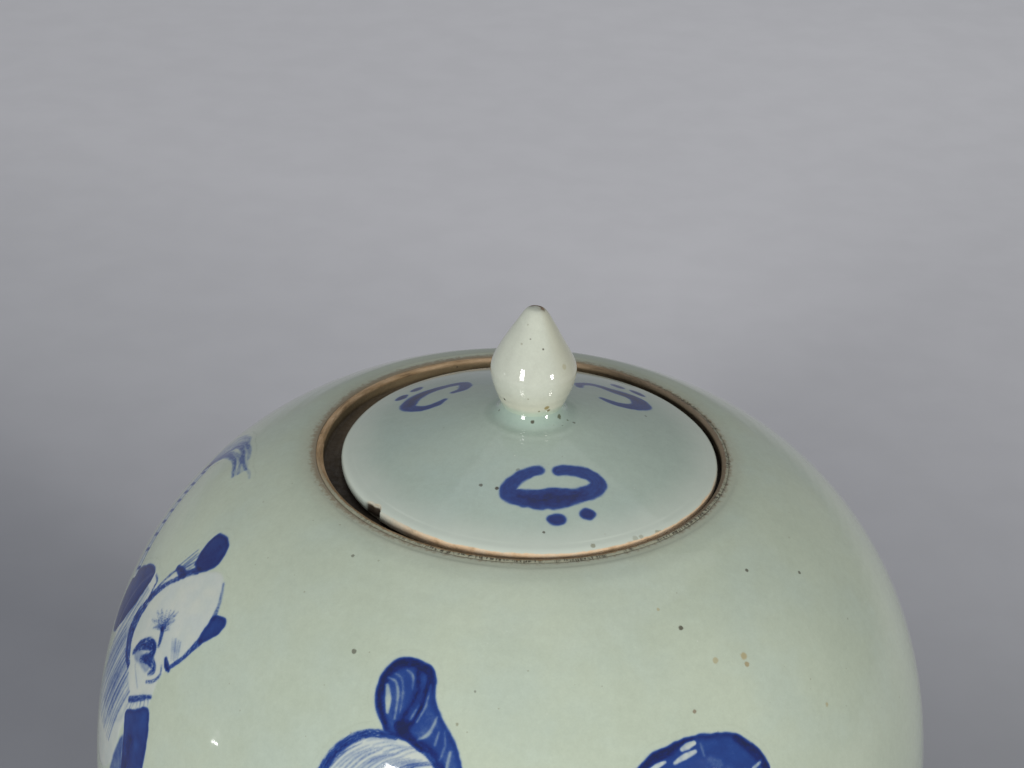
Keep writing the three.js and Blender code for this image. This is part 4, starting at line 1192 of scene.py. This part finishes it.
def make_rim():
    """Thin bare lip with a ragged, pitted outer edge, the mouth's inner wall and the lid seat."""
    columns = 720
    pits = np.random.default_rng(77).random(columns)

    def ragged(r, z, angle):
        wave = 0.07 * np.sin(7 * angle + 1) + 0.05 * np.sin(17 * angle) + 0.04 * np.sin(41 * angle + 2)
        near = np.clip((z - (RIM_Z - 2)) / 2, 0, 1)
        pit = np.where(pits > 0.72, 0.12, 0.0) * near * (r > MOUTH_RADIUS - 0.7)
        pit = pit * (np.cos(angle + math.radians(45)) > 0)
        outer_edge = r > (MOUTH_RADIUS + MOUTH_INNER) / 2
        return r + wave * near * np.where(outer_edge, -0.5, 0.5), z + (wave - 0.16) * near * 0.7 - pit

    top = RIM_Z - 0.02
    profile = rounded([
        (MOUTH_RADIUS - 1.2, RIM_Z - 4), (MOUTH_RADIUS + 0.15, RIM_Z - 1.1),
        (MOUTH_RADIUS + 0.05, RIM_Z - 0.35), (MOUTH_RADIUS - 0.45, top), (MOUTH_INNER + 0.45, top),
        (MOUTH_INNER + 0.03, RIM_Z - 0.6), (MOUTH_INNER, SEAT_Z + 0.4), (MOUTH_INNER - 0.5, SEAT_Z),
        (SEAT_INNER + 0.5, SEAT_Z), (SEAT_INNER, SEAT_Z - 0.5), (SEAT_INNER, SEAT_Z - 4),
        (SEAT_INNER + 0.5, SEAT_Z - 4.5), (MOUTH_INNER, SEAT_Z - 5.4), (65, SEAT_Z - 7.6),
        (69, SEAT_Z - 8.2), (69.5, SEAT_Z - 6.5), (60, SEAT_Z - 3.5), (MOUTH_RADIUS - 1.2, RIM_Z - 6)], 0.2,
        2)
    rim = turned("mouth_rim", profile, columns, ragged)
    rim.data.materials.append(bare_rim())
    return rim


def make_foot():
    """Turned foot ring, with its edges worn round."""
    inner = FOOT_BOTTOM_RADIUS - FOOT_WIDTH
    top = FOOT_HEIGHT
    profile = rounded([
        (inner + 1.0, 0.0), (FOOT_BOTTOM_RADIUS - 1.0, 0.0), (FOOT_BOTTOM_RADIUS, 0.9),
        (FOOT_TOP_RADIUS - 0.5, top - 1.4), (FOOT_TOP_RADIUS - 0.15, top - 0.1),
        (FOOT_TOP_RADIUS - 4, top + 0.2), (inner - 3.5, top + 0.2), (inner - 2.6, top - 0.5),
        (inner - 1.2, top - 1.6), (inner, 0.9), (inner + 1.0, 0.0)], 0.5, 3)
    foot = turned("foot_ring_finished", profile[:-1], 256)
    foot.data.materials.append(foot_finish())
    return foot


# ---------------------------------------------------------------- painted patches on the jar
PATCH_SUNK = 0.12  # how far a patch's border lies inside the wall, in mm
PATCH_RISE = 0.15  # how far its painted part rises from there
SLIP_THICKNESS = 0.10
COBALT_THICKNESS = 0.03
PAINTED_FROM = 0.015  # fainter paint than this gets no patch


def make_patch(name, angle_deg, s_centre, width, height, paint, spacing):
    """Brushwork on the jar: a thin sheet of glaze, proud of the wall only where it is painted."""
    columns = int(round((width[1] - width[0]) / spacing)) + 1
    rows = int(round((height[1] - height[0]) / spacing)) + 1
    u, v = np.meshgrid(np.linspace(*width, columns), np.linspace(*height, rows))
    canvas = Canvas(u, v)
    paint(canvas)
    grown = (canvas.cobalt > PAINTED_FROM) | (canvas.slip > PAINTED_FROM)
    for _ in range(3):
        edge = np.zeros_like(grown)
        edge[1:] |= grown[:-1]
        edge[:-1] |= grown[1:]
        edge[:, 1:] |= grown[:, :-1]
        edge[:, :-1] |= grown[:, 1:]
        grown |= edge
    covered = softened(grown.astype(float), 3)
    relief = softened(SLIP_THICKNESS * canvas.slip + COBALT_THICKNESS * canvas.cobalt, 2)
    lift = -PATCH_SUNK + PATCH_RISE * ease(covered, 0.25, 0.9) + relief
    s = s_centre + v
    angle = math.radians(angle_deg) + u / body_radius(height_at(s))
    points = body_point(angle, s, lift)
    keep = grown[:-1, :-1] & grown[1:, :-1] & grown[:-1, 1:] & grown[1:, 1:]
    index = np.arange(rows * columns).reshape(rows, columns)
    quads = np.stack([index[:-1, :-1], index[:-1, 1:], index[1:, 1:], index[1:, :-1]], -1)[keep]
    used = np.unique(quads)
    renumber = np.full(rows * columns, -1)
    renumber[used] = np.arange(len(used))
    patch = add_mesh(name, points.reshape(-1, 3)[used], renumber[quads].tolist())
    add_layers(patch, (
        ("cobalt", canvas.cobalt.reshape(-1)[used]),
        ("slip", canvas.slip.reshape(-1)[used]),
    ))
    flat = np.stack([
        (u - width[0]) / (width[1] - width[0]), (v - height[0]) / (height[1] - height[0])
    ], -1).reshape(-1, 2)[used]
    scale = np.array([width[1] - width[0], height[1] - height[0]])
    flat = 0.01 + 0.98 * flat * scale / scale.max()
    add_bake_map(patch, flat)
    patch.data.materials.append(PAINTED_GLAZE)
    return patch


def add_bake_map(piece, flat):
    """A UV map, named OFBake, from flat coordinates given for each vertex."""
    uv = piece.data.uv_layers.new(name="OFBake")
    corners = np.empty(len(piece.data.loops), int)
    piece.data.loops.foreach_get("vertex_index", corners)
    uv.data.foreach_set("uv", flat[corners].reshape(-1).astype(np.float32))


# ---------------------------------------------------------------- lid
CHIP_ANGLE = math.radians(-141.5)
CHIP_DEPTH = 1.5


def chip_bite(across):
    """Depth of the chip in the lid's edge, from 0 to 1, at a distance along it: steep on one side."""
    shape = ease(across, -6.0, 0.6) * (1 - ease(across, 1.5, 2.6))
    return shape * (0.86 + 0.14 * np.sin(across * 2.3 + 0.6))


def make_lid_disc():
    """Domed disc: a fine polar grid on top carries the three painted marks and the chip in the edge."""
    columns = 900
    neck = 7.75
    edge_start = LID_RADIUS - 1.5
    fillet_rise = 2.6
    fillet_width = NECK_FILLET_RADIUS - neck
    top = [(r, float(lid_top(r))) for r in np.linspace(edge_start, NECK_FILLET_RADIUS, 118)]
    fillet = [(r, float(lid_top(r)) + fillet_rise * ((NECK_FILLET_RADIUS - r) / fillet_width) ** 3.0)
              for r in np.linspace(NECK_FILLET_RADIUS - 0.1, neck, 36)]
    edge = rounded([(LID_RADIUS - 1.4, LID_UNDER_Z), (LID_RADIUS - 0.3, LID_UNDER_Z + 0.7),
                    (LID_RADIUS - 0.02, LID_EDGE_Z - 1.6), (LID_RADIUS - 0.2, LID_EDGE_Z - 0.4),
                    (LID_RADIUS - 0.8, LID_EDGE_Z + 0.2), top[0]], 0.22, 5)[:-1]
    hollow = FLANGE_RADIUS - 3
    under = [(r, max(float(lid_top(max(r, 8))) - 5, LID_UNDER_Z)) for r in np.linspace(1.0, hollow - 1, 40)]
    under += [(hollow, LID_UNDER_Z), (LID_RADIUS - 4, LID_UNDER_Z)]
    plug_z = fillet[-1][1]
    profile = [(0, under[0][1]), *under, *map(tuple, edge), *top, *fillet, (neck - 2, plug_z), (0, plug_z)]

    def across_chip(angle):
        return ((angle - CHIP_ANGLE + math.pi) % (2 * math.pi) - math.pi) * LID_RADIUS

    def shape(r, z, angle):
        limit = LID_RADIUS - CHIP_DEPTH * chip_bite(across_chip(angle))
        near = (z > LID_UNDER_Z + 0.2) & (r > LID_RADIUS - 4)
        over = np.where(near, np.clip(r - limit, 0, None), 0)
        r = r - over
        z = z - 0.55 * over
        wave = 0.05 * np.sin(5 * angle + 0.4) + 0.04 * np.sin(11 * angle + 2)
        r = r - np.where(r > LID_RADIUS - 3, 0.10 + wave, 0) * np.clip((z - LID_UNDER_Z) / 2, 0, 1)
        return r, z

    disc = turned("lid_disc_glazed", profile, columns, shape)
    disc.data.transform(lid_axis())
    count = len(disc.data.vertices)
    flat = np.empty(count * 3)
    disc.data.vertices.foreach_get("co", flat)
    x, y, z = (flat.reshape(-1, 3) / MM - np.array([LID_X, LID_Y, 0])).T
    canvas = Canvas(x, y)
    for seed, (curl, widths, dots) in enumerate(LID_MARKS):
        paint_lid_mark(canvas, curl, widths, dots, 400 + 20 * seed)
    radial = np.hypot(x, y)
    on_top = (z > LID_EDGE_Z - 0.6) & (z > lid_top(radial) - 0.8)
    across = across_chip(np.arctan2(y, x))
    limit = LID_RADIUS - CHIP_DEPTH * chip_bite(across) - 0.22
    chip = ease(radial, limit - 0.2, limit) * ease(chip_bite(across), 0.1, 0.35)
    chip = chip * ease(z, LID_UNDER_Z + 0.2, LID_UNDER_Z + 0.8)
    add_layers(disc, (
        ("cobalt", np.where(on_top, canvas.cobalt, 0)),
        ("slip", np.zeros(count)),
        ("chip", chip),
    ))
    disc.data.materials.append(lid_glaze())
    return disc


def lid_axis():
    """Moves a piece turned round the origin onto the lid's axis."""
    return Matrix.Translation((LID_X * MM, LID_Y * MM, 0))


def make_knob():
    """The bud knob: nearly a straight cone above its widest place, with a small flat tip."""
    base, top = KNOB_BASE_Z, KNOB_TOP_Z
    curve = smooth_curve([
        (7.7, base - 0.1), (7.75, base + 0.6), (8.4, base + 2.1), (9.25, base + 4.1), (10.05, base + 6.1),
        (10.7, base + 8.1), (11.05, base + 10.3), (10.9, base + 12.3), (10.05, base + 14.6),
        (8.75, base + 17.1), (7.35, base + 19.6), (5.95, base + 22.1), (4.75, base + 24.1),
        (3.6, base + 26.1), (2.75, base + 27.3), (2.0, top - 0.22), (1.3, top - 0.05)], 110)
    profile = [(0, base - 0.1), (6, base - 0.1), *map(tuple, curve), (0, top - 0.02)]

    def shape(r, z, angle):
        lean = 0.06 * np.sin(angle + 0.7) + 0.04 * np.sin(2 * angle) - 0.08
        lean = lean - 0.35 * np.cos(angle) * np.exp(-(((z - base - 19.5) / 5.0) ** 2))
        tilt = 0.10 * (1 + np.cos(angle - 0.4)) * np.clip((z - base - 24) / 4, 0, 1)
        return r + lean * np.clip((r - 1) / 9, 0, 1), z - tilt

    knob = turned("lid_bud_knob", profile, 160, shape)
    knob.data.transform(lid_axis())
    knob.data.materials.append(knob_glaze())
    return knob


def make_flange():
    """The ring under the lid that centres it in the mouth."""
    low, high = FLANGE_BOX[0][2], LID_UNDER_Z + 0.2
    outer, inner = FLANGE_RADIUS - 0.05, FLANGE_RADIUS - 3
    profile = rounded([
        (inner, low + 0.8), (inner + 0.8, low), (outer - 0.9, low), (outer, low + 0.9), (outer, high - 0.6),
        (outer + 0.5, high), (inner - 0.5, high), (inner, high - 0.8), (inner, low + 0.8)], 0.35, 3)
    flange = turned("lid_flange_turned", profile[:-1], 200)
    flange.data.transform(lid_axis())
    flange.data.materials.append(bare_clay())
    return flange


body = make_body()
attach(body, "jar")
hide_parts("lower_body", "upper_body")

rim = make_rim()
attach(rim, "jar")
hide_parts("mouth_collar")

foot = make_foot()
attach(foot, "jar")
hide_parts("foot_ring")

PAINTED_GLAZE = jar_glaze("jar_painted_glaze", True)
PATCHES = (
    ("brushwork_gourd", -104, 80, (-26, 28), (-50, 16), paint_gourd_knot, 0.3),
    ("brushwork_bundle", -62, 72, (-21, 21), (-44, 5), paint_covered_bundle, 0.3),
    ("brushwork_leaf_fan", -152, 65, (-48, 26), (-88, 33), paint_leaf_fan, 0.35),
    ("brushwork_fly_whisk", 172, 80, (-16, 25), (-25, 30), paint_fly_whisk, 0.3),
    ("brushwork_scrolls", 118, 48, (-36, 36), (-34, 28), paint_scroll, 0.45),
    ("brushwork_basket", 62, 44, (-24, 24), (-32, 36), paint_blossom_basket, 0.45),
    ("brushwork_lozenges", 28, 46, (-28, 30), (-34, 28), paint_linked_lozenges, 0.45),
)
for patch_name, angle_deg, s_centre, width, height, paint, spacing in PATCHES:
    patch = make_patch(patch_name, angle_deg, s_centre, width, height, paint, spacing)
    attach(patch, "jar")

disc = make_lid_disc()
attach(disc, "lid")
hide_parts("lid_disc")

knob = make_knob()
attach(knob, "lid")
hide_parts("lid_knob")

flange = make_flange()
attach(flange, "lid")
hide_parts("lid_flange")


# ---------------------------------------------------------------- floor, lights and camera
FLOOR_HALF = 6.0
LIGHT_TARGET = (0, 0, 0.2)
ROOM_COLOUR = (0.82, 0.83, 0.85, 1)
ROOM_STRENGTH = 0.33
CAMERA_PLACE = (0.0, -0.4972, 0.4987)
CAMERA_TURN_DEG = (61.98, -1.886, 1.40)
CAMERA_SENSOR_MM = 36.0
CAMERA_LENS_MM = 77.4


def make_floor():
    """The pale ground that the jar stands on."""
    mesh = bpy.data.meshes.new("floor")
    half = FLOOR_HALF
    corners = [(-half, -half, 0), (half, -half, 0), (half, half, 0), (-half, half, 0)]
    mesh.from_pydata(corners, [], [(0, 1, 2, 3)])
    floor = bpy.data.objects.new("floor", mesh)
    bpy.context.collection.objects.link(floor)
    shader = Shader("floor_pale")
    tone = shader.span(shader.noise(30, 3), 0.3, 0.7, 0.985, 1.015)
    # painted light and shade: the floor gets paler towards the back and the right, as the lamps' light would
    # make it
    x, y, _ = shader.parts()
    depth = shader.math("DIVIDE", shader.math("MULTIPLY_ADD", x, 0.5, y), 1100)
    painted_falloff = shader.ramp(depth, [(0.12, (0.31, 0.32, 0.36)), (0.32, (0.58, 0.59, 0.635)),
                                (0.55, (0.79, 0.795, 0.845)), (0.94, (0.90, 0.905, 0.955))])
    colour = shader.mix(1.0, painted_falloff, shader.combine(tone, tone, tone), "MULTIPLY")
    floor.data.materials.append(shader.finish(colour, 0.85))


def area_light(name, position, target, width, height, power, colour):
    """A rectangular light, in metres and watts, that points at a target."""
    data = bpy.data.lights.new(name, "AREA")
    data.shape = "RECTANGLE"
    data.size = width
    data.size_y = height
    data.energy = power
    data.color = colour
    light = bpy.data.objects.new(name, data)
    bpy.context.collection.objects.link(light)
    light.location = position
    direction = np.array(target) - np.array(position)
    light.rotation_euler = Vector(direction).to_track_quat("-Z", "Y").to_euler()


make_floor()
area_light("key_left", (-0.73, -1.34, 0.56), LIGHT_TARGET, 0.31, 0.56, 16.3, (1.0, 0.985, 0.95))
area_light("fill_right", (1.39, -1.06, 0.56), LIGHT_TARGET, 0.22, 0.32, 13.5, (1.0, 0.97, 0.90))
area_light("small_left", (-1.61, -0.27, 0.22), LIGHT_TARGET, 0.028, 0.028, 0.13, (1.0, 1.0, 1.0))
area_light("overhead", (0.2, 0.5, 2.4), LIGHT_TARGET, 2.2, 2.2, 4.5, (0.98, 0.985, 1.0))

world = bpy.data.worlds.new("soft_room")
world.use_nodes = True
background = world.node_tree.nodes["Background"]
background.inputs[0].default_value = ROOM_COLOUR
background.inputs[1].default_value = ROOM_STRENGTH
bpy.context.scene.world = world

camera_data = bpy.data.cameras.new("camera")
camera_data.sensor_width = CAMERA_SENSOR_MM
camera_data.lens = CAMERA_LENS_MM
camera = bpy.data.objects.new("camera", camera_data)
bpy.context.collection.objects.link(camera)
camera.location = CAMERA_PLACE
camera.rotation_euler = [math.radians(turn) for turn in CAMERA_TURN_DEG]
bpy.context.scene.camera = camera
bpy.context.scene.view_settings.view_transform = "Standard"
